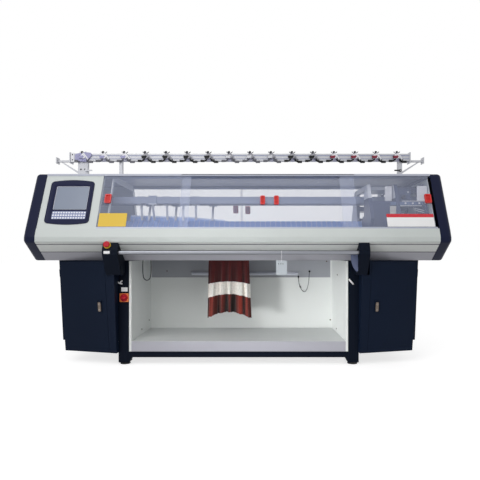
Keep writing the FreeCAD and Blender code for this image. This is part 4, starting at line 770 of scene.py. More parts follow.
def build(name: str, shape: Shape, finishes: list[Finish], *, body: str = "machine",
          nodes: tuple[str, ...] = (), bevel: float = 0.0, sharp: float = SHARP_DEGREES,
          cloth: Array | None = None) -> Piece:
    """Puts a shape into a mesh and makes it a piece.

    Args:
        name: the piece's name.
        shape: points and faces, in millimetres.
        finishes: the finishes that the faces' numbers count in.
        body: the CAD body that carries it.
        nodes: the CAD nodes it stands for.
        bevel: width of its broken edges, in millimetres.
        sharp: the turn, in degrees, past which an edge looks sharp.
        cloth: (points, 2) places on the flat cloth in millimetres, for a sheet, which stays open.
    Returns:
        The piece.
    """
    mesh = bpy.data.meshes.new(name)
    rows = [r for r, _ in shape.faces]
    corners = np.concatenate([r.ravel() for r in rows]).astype(np.int32)
    counts = np.concatenate([np.full(len(r), r.shape[1]) for r in rows])
    tints = np.concatenate([np.full(len(r), tint) for r, tint in shape.faces]).astype(np.int32)
    starts = np.concatenate([[0], np.cumsum(counts)[:-1]]).astype(np.int32)
    mesh.vertices.add(len(shape.points))
    mesh.vertices.foreach_set("co", (shape.points * METRE).astype(np.float32).ravel())
    mesh.loops.add(len(corners))
    mesh.loops.foreach_set("vertex_index", corners)
    mesh.polygons.add(len(starts))
    mesh.polygons.foreach_set("loop_start", starts)
    mesh.polygons.foreach_set("material_index", tints)
    mesh.update(calc_edges=True)
    if cloth is None:
        work = bmesh.new()
        work.from_mesh(mesh)
        bmesh.ops.remove_doubles(work, verts=work.verts, dist=1e-6)
        bmesh.ops.recalc_face_normals(work, faces=work.faces)
        work.to_mesh(mesh)
        work.free()
    else:
        mesh.uv_layers.new(name="cloth_mm").data.foreach_set("uv", cloth[corners].astype(np.float32).ravel())
    mesh.validate()
    mesh.shade_smooth()
    mesh.set_sharp_from_angle(angle=math.radians(sharp))
    for finish in finishes:
        mesh.materials.append(finish.material())
    piece = placed(name, mesh)
    if bevel:
        bevelled(piece, bevel)
    return carried(piece, body, nodes)


def softened(node: str, finish: Finish, width: float, second: tuple[Finish, float, Test] | None = None
             ) -> None:
    """A copy of a CAD node with its loose triangles merged into whole faces and its edges broken.

    Args:
        node: the CAD node, which the copy stands for.
        finish: its finish.
        width: width of the broken edges, in millimetres.
        second: a second finish, the height in millimetres at which faces are cut for it, and the test
            that takes (N, 3) face centres in millimetres and says which faces it goes on.
    """
    source = frame["nodes"][node]
    mesh = source.data.copy()
    mesh.name = f"{node}_dressed"
    work = bmesh.new()
    work.from_mesh(mesh)
    bmesh.ops.remove_doubles(work, verts=work.verts, dist=1e-5)
    bmesh.ops.dissolve_limit(work, angle_limit=math.radians(1), verts=work.verts, edges=work.edges)
    if second:
        everything = [*work.verts, *work.edges, *work.faces]
        bmesh.ops.bisect_plane(work, geom=everything, plane_co=(0, 0, second[1] * METRE), plane_no=(0, 0, 1))
    work.to_mesh(mesh)
    work.free()
    if "custom_normal" in mesh.attributes:
        mesh.attributes.remove(mesh.attributes["custom_normal"])
    mesh.shade_smooth()
    mesh.set_sharp_from_angle(angle=math.radians(SHARP_DEGREES))
    mesh.materials.clear()
    mesh.materials.append(finish.material())
    tint = np.zeros(len(mesh.polygons), np.int32)
    if second:
        mesh.materials.append(second[0].material())
        centre = np.empty(len(mesh.polygons) * 3, np.float32)
        mesh.polygons.foreach_get("center", centre)
        tint[second[2](centre.reshape(-1, 3) / METRE)] = 1
    mesh.polygons.foreach_set("material_index", tint)
    piece = placed(mesh.name, mesh)
    bevelled(piece, width)
    carried(piece, source["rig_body"], (node,))


def dress(finish: Finish, *nodes: str) -> None:
    """Gives CAD nodes that stay in view their finish.

    Args:
        finish: the finish.
        nodes: the CAD nodes that take it.
    """
    for node in nodes:
        for place in frame["nodes"][node].material_slots:
            place.material = finish.material()
        LOG.info("%s keeps its CAD shape in %s", node, finish.name)


# --- studio


@dataclass
class Studio:
    """Camera, light and floor."""

    camera_spot: Spot = (0.125, -3.175, 0.760)
    lens: float = 31.69
    sensor: float = 36.0
    shift: Pair = (-0.035, 0.029)
    sky: float = 0.6
    glow: float = 0.72
    floor_half: float = 30.0

    def build(self) -> None:
        """Makes the camera, then the light, then the floor."""
        self.camera()
        self.world()
        self.lamps()
        self.floor()
        bpy.context.scene.view_settings.view_transform = "Standard"

    def camera(self) -> None:
        """A level camera that looks along +Y from in front of the bar, shifted to the photograph's frame."""
        data = bpy.data.cameras.new("camera")
        data.lens = self.lens
        data.sensor_width = self.sensor
        data.shift_x, data.shift_y = self.shift
        camera = placed("camera", data)
        camera.location = self.camera_spot
        camera.rotation_euler = (math.pi / 2, 0, 0)
        bpy.context.scene.camera = camera

    def world(self) -> None:
        """A plain sky: white where the eye, a reflection or a clear sheet sees it, and softer as light."""
        world = bpy.data.worlds.new("studio")
        bpy.context.scene.world = world
        world.use_nodes = True
        tree = world.node_tree
        tree.nodes.clear()
        inputs = {"Value": seen(tree), "To Min": self.sky, "To Max": 1.0}
        strength = add_node(tree, "MapRange", inputs).outputs[0]
        sky = add_node(tree, "Background", {"Color": (1, 1, 1, 1), "Strength": strength})
        add_node(tree, "OutputWorld", {"Surface": sky.outputs[0]})

    def lamps(self) -> None:
        """A broad soft lamp high in front, and a small one low on the left, with a grid that narrows its
        light to the compartment."""
        for name, spot, aim, size, spread, power in (
            ("key", (-1.3, -3.4, 3.4), (0, -0.2, 0.9), 3.0, 180, 76.0),
            ("fill", (-2.5, -2.7, 0.32), (0.6, 0.05, 0.34), 0.6, 26, 2.0),
        ):
            data = bpy.data.lights.new(name, "AREA")
            data.size = size
            data.spread = math.radians(spread)
            data.energy = power
            lamp = placed(name, data)
            lamp.location = spot
            x, y, z = np.array(spot, float) - np.array(aim, float)
            lamp.rotation_euler = (math.atan2(math.hypot(x, y), z), 0, math.atan2(x, -y))

    def floor(self) -> None:
        """A white floor that takes the machine's shadow; to the eye alone it glows a little, so that it
        meets the sky without a line."""
        mesh = bpy.data.meshes.new("floor")
        half = self.floor_half
        mesh.from_pydata([(x, y, 0) for x, y in rectangle(-half, half, -half, half)], [], [(0, 1, 2, 3)])
        made = bpy.data.materials.new("white_floor")
        made.use_nodes = True
        tree = made.node_tree
        inputs = tree.nodes["Principled BSDF"].inputs
        for name, value in (("Base Color", (0.5, 0.5, 0.5, 1)), ("Roughness", 0.9),
                            ("Specular IOR Level", 0.0), ("Emission Color", (1, 1, 1, 1))):
            inputs[name].default_value = value
        glow = add_node(tree, "Math", {0: seen(tree), 1: self.glow}, operation="MULTIPLY")
        tree.links.new(glow.outputs[0], inputs["Emission Strength"])
        mesh.materials.append(made)
        placed("floor", mesh)


# --- cords and card


@dataclass
class Cords:
    """The looped cable, the lamp's wire, and the card on its string."""

    cable_y: float = -75.0
    wire_y: float = 252.0
    string_x: float = 286.5
    string_y: float = -415.0
    card: Box = (251.0, 322.0, 623.0, 717.0)
    card_half: float = 0.6

    def cord(self, name: str, route: list[Spot], radius: float, finish: Finish) -> None:
        """A cord on one smooth curve with the route's points as its controls.

        Args:
            name: the CAD node it stands for.
            route: points in millimetres.
            radius: its radius in millimetres.
            finish: its finish.
        """
        data = bpy.data.curves.new(f"{name}_line", "CURVE")
        data.dimensions = "3D"
        line = data.splines.new("NURBS")
        line.points.add(len(route) - 1)
        points = np.ones((len(route), 4))
        points[:, :3] = np.array(route, float) * METRE
        line.points.foreach_set("co", points.ravel())
        line.order_u = 3
        line.use_endpoint_u = True
        data.resolution_u = 10
        data.bevel_depth = radius * METRE
        data.bevel_resolution = 3
        data.use_fill_caps = True
        data.materials.append(finish.material())
        piece = carried(placed(f"{name}_line", data), "machine", (name,))

    def build(self) -> None:
        """Lays the three cords and hangs the card."""
        cable = [(-708, 768), (-710, 718), (-711.5, 668), (-711, 622), (-707, 586), (-692, 567),
                 (-670, 567), (-655, 586), (-651, 622), (-650.5, 668), (-652, 718), (-654, 768)]
        wire = [(462, 580), (463, 545), (470, 508), (484, 474), (502, 453),
                (522, 456), (536, 484), (545, 528), (549, 572), (551, 612)]
        string = [(-416.9, 710), (-430.3, 762.66), (-430.3, 775.34), (-421.34, 784.3),
                  (-408.66, 784.3), (-399.7, 775.34), (-399.7, 762.66), (-413.1, 710)]
        self.cord("left_cable", [(x, self.cable_y, z) for x, z in cable], 3.25, CORD_PLASTIC)
        self.cord("lamp_wire", [(x, self.wire_y, z) for x, z in wire], 2.0, CORD_PLASTIC)
        self.cord("tag_string", [(self.string_x, y, z) for y, z in string], 1.0, STRING_COTTON)
        self.sleeves()
        self.hang_tag()

    def sleeves(self) -> None:
        """Black sleeves where the lamp's wire leaves the lamp, on its first bend, and at its clip."""
        sleeve = lathe([(3.4, -4), (5, -3), (4.4, 14), (2.9, 18), (2.9, 19)], 12)
        shapes = [facing(sleeve, (462, self.wire_y, 580), DOWN),
                  facing(sleeve.scaled(z=0.8), (475, self.wire_y, 497), (0.45, 0, -0.9)),
                  turned([(7, 0), (8, 2), (8, 9), (5, 11)], 14, (551, self.wire_y - 1, 619))]
        build("wire_sleeves", join(shapes), [BLACK_PLASTIC])

    def hang_tag(self) -> None:
        """The card: rounded corners and three punched rounds under its top edge."""
        front, back = self.string_y - self.card_half, self.string_y + self.card_half
        dot = [(3.2, 0.0), (3.2, 0.25), (2.6, 0.3)]
        dots = [turned(dot, 12, (x, front, self.card[3] - 22), tint=1) for x in (268.0, 282.0, 296.0)]
        shape = join([panel(self.card, 5, 3, front, back), *dots])
        build("hang_tag_card", shape, [CARD_STOCK, CORD_PLASTIC], nodes=("hang_tag",), bevel=0.3)


# --- housing


@dataclass
class Housing:
    """Nose fairings, top cover and the two moulded end caps, on one section."""

    skirt: Pair = (-284.0, 716.0)
    nose_low: Pair = (-430.0, 838.0)
    nose_top: Pair = (-430.0, 870.0)
    band: Pair = (-411.0, 927.0)
    wall: float = 6.0
    grooves: tuple[float, ...] = (773.0, 822.0)
    groove_half: float = 3.5
    joint_x: float = 1320.0
    end_x: float = 1400.0
    cap_round: float = 28.0
    track_depth: float = 36.0
    slope_long: float = 416.0

    def skirt_y(self, z: float, deep: float = 0.0) -> float:
        """Depth of the slanted underside at a height, moved inwards by a distance square to it."""
        run = (self.skirt[0] - self.nose_low[0]) / (self.nose_low[1] - self.skirt[1])
        return self.skirt[0] - (z - self.skirt[1]) * run + deep * math.hypot(1, run)

    def fairing(self) -> Shape:
        """The nose shell: its outline, with two grooves and a soft nose, carried along X.

        Returns:
            The shell, with its faces in three finishes: the housing paint, a white band above the lower
            groove that paints light on the skirt, and a darker grey below that groove that paints shade.
        """
        outside = [self.skirt]
        for z in self.grooves:
            half = self.groove_half
            outside += [(self.skirt_y(z - half), z - half), (self.skirt_y(z, half), z),
                        (self.skirt_y(z + half), z + half)]
        outside += [self.nose_low, self.nose_top, self.band]
        shelf = [tuple(DOOR.point(0, *spot)[1:]) for spot in ((self.track_depth, 0), (self.track_depth, -4),
                                                             (self.wall, -4))]
        low_z = self.skirt[1]
        inside = [(self.nose_top[0] + self.wall, self.nose_top[1] - 1),
                  (self.nose_low[0] + self.wall, self.nose_low[1] + 2.6),
                  (self.skirt_y(low_z, self.wall), low_z)]
        corners = np.array(outside + shelf + inside)[::-1]
        count = len(corners)
        soft = np.zeros(count)
        for spot, radius in ((len(outside) - 3, 12.0), (len(outside) - 2, 34.0)):
            soft[count - 1 - spot] = radius
        outline = rounded(corners, soft, 6)
        shell = slab(outline, -self.joint_x, self.joint_x, Axis.X)
        sides = shell.faces[0][0]
        height = shell.points[sides][:, :, 2].mean(axis=1)
        # Painted light and shade: the skirt between the lower groove and the nose takes the white lining
        # paint, and the skirt below that groove the darker grey.
        tints = (height < self.nose_low[1] - 3).astype(int) + (height < self.grooves[0])
        return Shape(shell.points, [(sides[tints == t], t) for t in range(3)] + shell.faces[1:])

    def section(self) -> tuple[Array, Array]:
        """The whole housing's section, anticlockwise, and each corner's radius.

        Returns:
            (points, 2) corners and their radii.
        """
        top = tuple(DOOR.point(0, 0, self.slope_long)[1:])
        front = [self.skirt, self.nose_low, self.nose_top, self.band, top]
        soft = [6.0, 30.0, 34.0, 60.0, 26.0]
        rear = [(REAR_EXTRA - y, z) for y, z in reversed(front)]
        return np.array(front + rear)[::-1], np.array(soft + soft[::-1])[::-1]

    def cap(self) -> Shape:
        """An end cap: rings of the section, inset by the cap's radius less its cosine as X grows by its
        sine, and then the inner skin back to the joint.

        Returns:
            The right cap.
        """
        outline, soft = self.section()
        turn = np.linspace(0, math.pi / 2, 7)
        rises = [(self.joint_x, 0.0)]
        rises += [(self.end_x - self.cap_round * (1 - math.sin(t)), self.cap_round * (1 - math.cos(t)))
                  for t in turn]
        hollow = [(self.end_x - self.wall - 4, self.cap_round + 1),
                  (self.end_x - self.cap_round, self.wall), (self.joint_x, self.wall)]
        rings = hollow + rises
        outlines = [rounded(inset(outline, deep), np.maximum(soft - deep, 1.0), 6) for _, deep in rings]
        return stack(rings_of(outlines, [x for x, _ in rings], Axis.X))

    def groove_shades(self) -> Shape:
        """Dark strips in the grooves, which paint their shade and follow the underside's slope.

        Returns:
            The strips.
        """
        shapes = []
        for z in self.grooves:
            corners = [(self.skirt_y(z + up, deep), z + up)
                       for up, deep in ((-2.6, 0.9), (-2.6, 4), (2.6, 4), (2.6, 0.9))]
            shapes.append(slab(np.array(corners), 1 - self.joint_x, self.joint_x - 1, Axis.X))
        return join(shapes)

    def build(self) -> None:
        """Makes the shells."""
        front = self.fairing()
        finishes = [HOUSING_PAINT, LINING_PAINT, PAINTED_SHADE_GREY]
        build("front_nose", front, finishes, nodes=("front_fairing",), bevel=0.8)
        rear = front.scaled(y=-1).moved(y=REAR_EXTRA)
        build("rear_nose", rear, finishes, nodes=("rear_fairing",), bevel=0.8)
        # Painted shade: slate strips fill the two grooves.
        build("groove_seals", self.groove_shades(), [SLATE_PLASTIC])
        cap = self.cap()
        build("right_cap", cap, [CAP_PLASTIC], nodes=("right_end_cap",))
        build("left_cap", cap.scaled(x=-1), [CAP_PLASTIC], nodes=("left_end_cap",))
        softened("top_cover", BEAM_PAINT, 1.2)
        softened("rear_panel", HOUSING_PAINT, 0.8)
        # Painted light: the inner walls' faces left of the middle take the white lining paint, so that the
        # left bay reads brighter.
        softened("inner_walls", HOUSING_PAINT, 0.8, (LINING_PAINT, 1240.0, lambda at: at[:, 0] < 0))
        dress(TRACK_ALUMINIUM, "door_tracks")


# --- doors


@dataclass
class SlidingDoor:
    """A clear pane in its groove, with a ribbed finger pull, and perhaps a plate low on it."""

    name: str
    left: float
    right: float
    depth: float
    pull_left: float
    pull_wide: float
    place: Place = DOOR
    low: float = 4.3
    high: float = 406.0
    thick: float = 5.0
    pull_low: float = 188.0
    pull_tall: float = 66.0
    pull_thick: float = 12.0
    ribs: int = 4
    rib_pitch: float = 11.0

    def pane(self) -> Shape:
        """The sheet, whose sawn edges have a finish of their own.

        Returns:
            The sheet.
        """
        box = (self.left, self.right, self.low, self.high)
        made = panel(box, 3, 2, self.depth, self.depth + self.thick)
        (sides, _), *ends = made.faces
        return Shape(made.points, [(sides, 1), *ends])

    def pull(self) -> Shape:
        """A rounded frame round a recess with ribs across it.

        Returns:
            The pull.
        """
        left, low = self.pull_left, self.pull_low
        right, high = left + self.pull_wide, low + self.pull_tall
        face = self.depth - self.pull_thick
        outer = rounded(rectangle(left, right, low, high), 7, 4)
        inner = rounded(rectangle(left + 7, right - 7, low + 8, high - 8), 3, 4)
        rings = rings_of([outer, outer, inner, inner], [self.depth, face, face, face + 8], Axis.Y)
        starts = low + 14 + self.rib_pitch * np.arange(self.ribs)
        ribs = [block((left + 6, right - 6), (face + 3, face + 8.5), (z, z + 4)) for z in starts]
        return join([stack(rings), *ribs]).tinted(2)

    def build(self, plate: Shape | None = None) -> None:
        """Makes the door; the plate's faces count on from the door's own three finishes.

        Args:
            plate: a plate on the sheet, in the door's own frame.
        """
        shapes = [self.pane(), self.pull()] + ([plate] if plate else [])
        sheet = CLEAR_PANE if self.place is DOOR else REAR_PANE_PAINTED_DAYLIGHT
        finishes = [sheet, PANE_EDGE, RED_PULL, YELLOW_PLATE, WHITE_PLATE, RED_BAND]
        build(f"{self.name}_glazed", self.place.put(join(shapes)), finishes, body=self.name,
              nodes=(self.name,), bevel=0.6)


@dataclass
class Doors:
    """Four front doors on two grooves, two rear doors, and the two bare plates."""

    plate_front: float = 4.2

    def plate(self, box: Box, tint: int, lift: float = 0.0) -> Shape:
        """A thin plate with rounded corners on the outer pane's face."""
        return panel(box, 3, 3, self.plate_front - lift, 5.0).tinted(tint)

    def build(self) -> None:
        """Makes the doors from left to right."""
        yellow = self.plate((-921, -736, 15, 114), 3)
        white = join([self.plate((985, 1297, 15, 108), 4), self.plate((985, 1297, 83, 108.5), 5, 0.3)])
        SlidingDoor("front_door_a", -928, -328, 5, -898, 43).build(yellow)
        SlidingDoor("front_door_b", -394, 206, 26, 149, 32).build()
        SlidingDoor("front_door_c", 207, 797, 26, 242, 32).build()
        SlidingDoor("front_door_d", 695, 1301, 5, 1256, 43).build(white)
        seal = DOOR.put(block((-394, 797), (-0.6, 3.2), (407.5, 412)))
        build("door_seal", seal, [BELT_RUBBER], bevel=0.8)
        SlidingDoor("rear_door_left", -879, 10, 5, -72, 43, REAR_DOOR).build()
        SlidingDoor("rear_door_right", -10, 1306, 26, 29, 43, REAR_DOOR).build()


# --- control panel


@dataclass
class ControlPanel:
    """The sloping panel with its arched bezel, screen and key field."""

    bezel: Box = (-1278.0, -983.0, 28.0, 366.0)
    arc: float = 779.0
    window: Box = (-1237.0, -1012.0, 138.0, 318.0)
    front: float = -3.0
    seat: float = 3.0
    pad: Box = (-1232.0, -1007.6, 66.0, 124.0)
    key: Pair = (12.0, 11.0)
    pitch: Pair = (17.2, 19.5)

    def outline(self, box: Box, radius: float, arched: bool) -> Array:
        """A rounded box with eleven points inside its top and its bottom. Each corner is a quarter turn
        about a centre one radius in; where arched, top and bottom draw in by how far a circle of the
        bezel's arc drops at that distance from the middle.

        Args:
            box: left, right, low and high.
            radius: the corners' radius.
            arched: whether top and bottom are arched.
        Returns:
            (46, 2) points, anticlockwise from the lower right.
        """
        left, right, low, high = box
        quarter = np.linspace(0, math.pi / 2, 6)
        runs = []
        for n, (x, z) in enumerate(((right - radius, low + radius), (right - radius, high - radius),
                                    (left + radius, high - radius), (left + radius, low + radius))):
            turn = quarter + (n - 1) * math.pi / 2
            runs.append(np.stack([x + radius * np.cos(turn), z + radius * np.sin(turn)], axis=1))
            if n in (1, 3):
                between = np.linspace(right - radius, left + radius, 13)[1:-1]
                level = high if n == 1 else low
                runs.append(np.stack([between if n == 1 else between[::-1], np.full(11, level)], axis=1))
        points = np.concatenate(runs)
        if arched:
            drop = self.arc - np.sqrt(self.arc ** 2 - (points[:, 0] - (left + right) / 2) ** 2)
            points[:, 1] += np.where(points[:, 1] > (low + high) / 2, -drop, drop)
        return points

    def bezel_shape(self) -> Shape:
        """The bezel: from its seat up round a soft rim, across a face that dips, up a lip, and down into
        the window.

        Returns:
            The bezel, in the doors' frame.
        """
        left, right, low, high = self.bezel

        def rim(cut: float) -> Array:
            """The outer outline, drawn in by a cut."""
            return self.outline((left + cut, right - cut, low + cut, high - cut), 20 - cut, True)

        first, last, foot, head = self.window
        lip = self.outline((first - 4, last + 4, foot - 4, head + 4), 7, False)
        window = self.outline(self.window, 4, False)
        outlines = [rim(0), rim(0), rim(1), rim(4), rim(9), lip, window, window]
        heights = [self.seat, self.front + 3, self.front + 1, self.front, self.front + 1.2,
                   self.front + 1.2, self.front + 0.2, self.seat - 0.2]
        return stack(rings_of(outlines, heights, Axis.Y), ends=False)

    def keys(self) -> Shape:
        """The membrane and three rows of thirteen low domes with soft shoulders.

        Returns:
            The key field, in the doors' frame.
        """
        left, _, low, _ = self.pad
        wide, tall = self.key
        foot, brow = (rounded(rectangle(cut, wide - cut, cut, tall - cut), 2, 1) for cut in (0.0, 1.2))
        heights = [self.front - 0.8, self.front - 1.5, self.front - 2.2]
        dome = stack(rings_of([foot, foot, brow], heights, Axis.Y)).tinted(1)
        domes = [dome.moved(x=left + 3 + column * self.pitch[0], z=low + 3 + row * self.pitch[1])
                 for row in range(3) for column in range(13)]
        return join([panel(self.pad, 4, 3, self.front - 0.9, self.front + 0.2), *domes])

    def screen(self) -> Shape:
        """The glass, with a pale frame line inside the window.

        Returns:
            The glass and its frame line, in the doors' frame.
        """
        left, right, low, high = self.window
        glass = slab(rectangle(left - 7, right + 7, low - 7, high + 7), self.seat, self.seat + 6, Axis.Y)
        lines = [block(x, (self.seat - 0.8, self.seat + 0.5), z).tinted(1)
                 for x, z in (((left, left + 4), (low, high)), ((right - 4, right), (low, high)),
                              ((left, right), (low, low + 4)), ((left, right), (high - 4, high)))]
        return join([glass, *lines])

    def build(self) -> None:
        """Makes the panel's pieces."""
        softened("control_panel", HOUSING_PAINT, 1.2)
        for name, shape, finishes, node, bevel in (
            ("bezel_frame", self.bezel_shape(), [BEZEL_PLASTIC], "screen_bezel", 0.0),
            ("screen_pane", self.screen(), [SCREEN_GLASS, LAMP_DIFFUSER], "touch_screen", 0.3),
            ("key_field", self.keys(), [KEY_PLATE, KEY_PLASTIC], "keypad", 0.0),
        ):
            build(name, DOOR.put(shape), finishes, nodes=(node,), bevel=bevel)


# --- bar and switches


@dataclass
class Controls:
    """Shoulders, operating bar, emergency stop and main switch."""

    bar_ends: Pair = (-792.0, 805.0)
    bar_spot: Pair = (-415.0, 769.0)
    bar_radius: float = 14.0
    stop_spot: Spot = (-845.0, -432.0, 815.0)
    stop_way: Spot = (0.0, -0.9155, 0.4024)
    plate: Box = (-815.0, -753.0, 431.0, 490.0)
    plate_front: float = -282.0
    column_front: float = -274.0

    def bar(self) -> Shape:
        """The bar: a turned rod with chamfered ends, laid along X.

        Returns:
            The bar.
        """
        left, right = self.bar_ends
        radius, long = self.bar_radius, right - left
        profile = [(radius - 2, 0), (radius, 2), (radius, long - 2), (radius - 2, long)]
        return turned(profile, 40, (left, *self.bar_spot), RIGHT)

    def switch(self) -> tuple[Shape, Shape]:
        """The switch's plate with its red ring, and its round knob with a grip bar.

        Returns:
            The plate, and the knob, which turns on a body of its own.
        """
        left, right, low, high = self.plate
        x, z = (left + right) / 2, (low + high) / 2
        ring = [(20, -1), (20, 2.4), (21, 3), (25, 3), (26.5, 2), (26.5, -1), (20, -1)]
        plate = join([panel(self.plate, 5, 4, self.plate_front, self.column_front),
                      turned(ring, 40, (x, self.plate_front, z), tint=1)])
        knob = lathe([(5, -4.5), (5, 0), (19, 0), (19, 7), (17.5, 9), (6, 9)], 40)
        grip = rounded(rectangle(-4.5, 4.5, -17, 17), 4, 4)
        grip = stack(rings_of([grip, grip, grip * 0.86], [8.5, 21, 23], Axis.Z))
        return plate, facing(join([knob, grip]), (x, self.plate_front - 0.3, z), FORWARD)

    def small_plates(self) -> Shape:
        """The two bare white plates, under the stop and over the switch.

        Returns:
            The plates.
        """
        label = slab(rounded(rectangle(-20, 20, -9, 9), 2, 2), -0.1, 0.7, Axis.Z)
        return join([Place((-846.0, -444.0, 770.0), UPRIGHT).put(label),
                     panel((-806, -762, 502, 530), 2, 2, -274.7, -273.9)])

    def catches(self) -> Shape:
        """A small white catch on each column: a bent tongue, with a short second tongue on the left one.

        Returns:
            The catches.
        """
        return join([
            tube([(-835, -275, 572), (-820, -281, 561), (-806, -281, 556), (-799, -275, 556)], 5),
            tube([(-812, -275, 560), (-806, -281, 571), (-798, -275, 577)], 5),
            tube([(757, -275, 586), (764, -280, 578), (780, -280, 560), (787, -275, 553)], 5.5),
        ])

    def build(self) -> None:
        """Makes the controls."""
        softened("left_shoulder", FRAME_PAINT, 2.0)
        softened("right_shoulder", FRAME_PAINT, 2.0)
        build("bar_rod", self.bar(), [CHROME], body="operating_bar", nodes=("operating_bar",))
        wing = [(791, 640), (791, 757), (742, 757), (745, 715), (757, 676), (774, 650)]
        wing = slab(rounded(wing, 6, 3), -399, -394, Axis.Y)
        build("bar_bracket", wing, [BRACKET_PAINT], bevel=0.8)
        collar = [(9.5, 0.2), (9.5, 9), (19, 9.5), (22, 8.5), (23, 6), (23, 0)]
        collar = turned(collar, 36, self.stop_spot, self.stop_way)
        build("stop_collar", collar, [STOP_YELLOW], nodes=("estop_base",))
        cap = [(8.9, 6.5), (8.9, 16), (19, 16), (21, 18), (21, 21), (19.5, 24), (15, 26.2), (8, 27), (2, 27)]
        cap = turned(cap, 36, self.stop_spot, self.stop_way)
        build("stop_mushroom", cap, [STOP_RED], body="estop_button", nodes=("estop_button",))
        plate, knob = self.switch()
        build("switch_face", plate, [SWITCH_ORANGE, STOP_RED], nodes=("switch_plate",), bevel=0.6)
        build("switch_handle", knob, [STOP_RED], body="switch_knob", nodes=("switch_knob",), bevel=0.5)
        build("small_plates", self.small_plates(), [WHITE_PLATE])
        build("column_catches", self.catches(), [WHITE_PLATE])


# --- base and cabinets


@dataclass
class Base:
    """Leg frames, feet, beams and the cabinets with their doors and locks."""

    edge: float = 2.0
    turn: float = math.radians(13.5)
    lean: float = math.radians(5.9)

    def lock_face(self, side: Side) -> Shape:
        """The lock's lever: a pressed strip with two slotted discs, whose slots are black bars that paint
        their shade, on the cabinet's turned and leaning front, whose axes are those of the machine
        turned about Z and then leant about the new X.

        Args:
            side: the side of the machine that it is on.
        Returns:
            The lever, in place.
        """
        (cos_turn, sin_turn), (cos_lean, sin_lean) = (
            (math.cos(angle), math.sin(angle)) for angle in (self.turn, self.lean))
        across = (cos_turn, sin_turn, 0.0)
        inward = (-sin_turn * cos_lean, cos_turn * cos_lean, sin_lean)
        upward = (sin_turn * sin_lean, -cos_turn * sin_lean, cos_lean)
        # Painted shade: each disc's slot is a thin black bar on its face.
        disc = join([lathe([(7.5, 0), (7.5, 1.2), (6.5, 1.8), (2, 1.8)], 20).tinted(1),
                     block((-0.8, 0.8), (-4, 4), (1.5, 2.2)).tinted(2)])
        shapes = [panel((94.5, 115.5, 288.5, 352), 6, 4, -9.7, -3.3)]
        shapes += [Place((105, -9.7, z), UPRIGHT).put(disc) for z in (300, 338)]
        return Place((825, -310, 85), (across, inward, upward)).put(join(shapes)).scaled(x=side.value)

    def build(self) -> None:
        """Makes the base."""
        softened("left_leg_frame", FRAME_PAINT, self.edge)
        softened("right_leg_frame", FRAME_PAINT, self.edge)
        softened("lower_beams", FRAME_PAINT, 1.5)
        softened("levelling_feet", FOOT_RUBBER, 0.8)
        for side in Side:
            word = side.name.lower()
            softened(f"{word}_cabinet", CABINET_PAINT, 1.5)
            softened(f"{word}_cabinet_door", CABINET_PAINT, self.edge)
            build(f"{word}_lock_lever", self.lock_face(side), [ZINC, LOCK_FACE, BLACK_PLASTIC],
                  body=f"{word}_door_lock", nodes=(f"{word}_door_lock",), bevel=0.6)


# --- compartment


@dataclass
class Compartment:
    """The sheet lining, tray, upper panel, lamp and screws round the fabric."""

    back_y: float = 261.0
    half: float = 736.0
    sheet_x: Pair = (-728.0, 722.0)
    lip_y: float = -255.0

    def screws(self) -> Shape:
        """Pan-head screws on the back and the side walls, each a low turned dome with a black bar for its
        slot, which paints the slot's shade.

        Returns:
            The screws.
        """
        head = lathe([(6, 0), (6, 1), (5, 2.4), (2.5, 3)], 14)
        # Painted shade: the slot is a thin black bar on the head.
        screw = join([head, block((-4.5, 4.5), (-0.7, 0.7), (2.6, 3.2)).tinted(1)])
        back, half = self.back_y, self.half
        spots = [((-605, back, 621), FORWARD), ((693, back, 700), FORWARD), ((722, back, 225), FORWARD),
                 ((-half, 203, 232), RIGHT), ((-half, -12, 197), RIGHT),
                 ((half, 28, 602), -RIGHT), ((half, 68, 187), -RIGHT)]
        return join([facing(screw, spot, way) for spot, way in spots])

    def upper_panel(self) -> Shape:
        """The grey sheet across the top of the back wall, with a folded lower edge.

        Returns:
            The sheet.
        """
        back = self.back_y - 0.1
        return join([block(self.sheet_x, (self.back_y - 1.6, back), (573, 711.5)),
                     block(self.sheet_x, (self.back_y - 6, back), (570, 574))])

    def lamp(self) -> Shape:
        """The lamp: a channel with end caps, and its opal tube on two holders.

        Returns:
            The lamp.
        """
        channel = block((-417, 474), (252, 260.9), (580, 622))
        opal = turned([(11, 0), (13, 2), (13, 867), (11, 869)], 24, (-406, 247.7, 601), RIGHT, 1)
        ends = [block((x, x + 16), (234.8, 256), (585, 617)) for x in (-417, 458)]
        return join([channel, opal, *ends])

    def build(self) -> None:
        """Makes the compartment."""
        softened("compartment_lining", LINING_PAINT, 0.8)
        # Painted shade: the tray's faces in front of lip_y take the darker grey.
        softened("fabric_tray", TRAY_PAINT, 2.0, (PAINTED_SHADE_GREY, 50.0, lambda at: at[:, 1] < self.lip_y))
        build("upper_panel", self.upper_panel(), [UPPER_LINING_PAINT], bevel=0.5)
        build("wall_screws", self.screws(), [ZINC, BLACK_PLASTIC])
        build("lamp_fitting", self.lamp(), [UPPER_LINING_PAINT, LAMP_DIFFUSER], nodes=("lamp_bar",),
              bevel=0.8)


# --- fabric


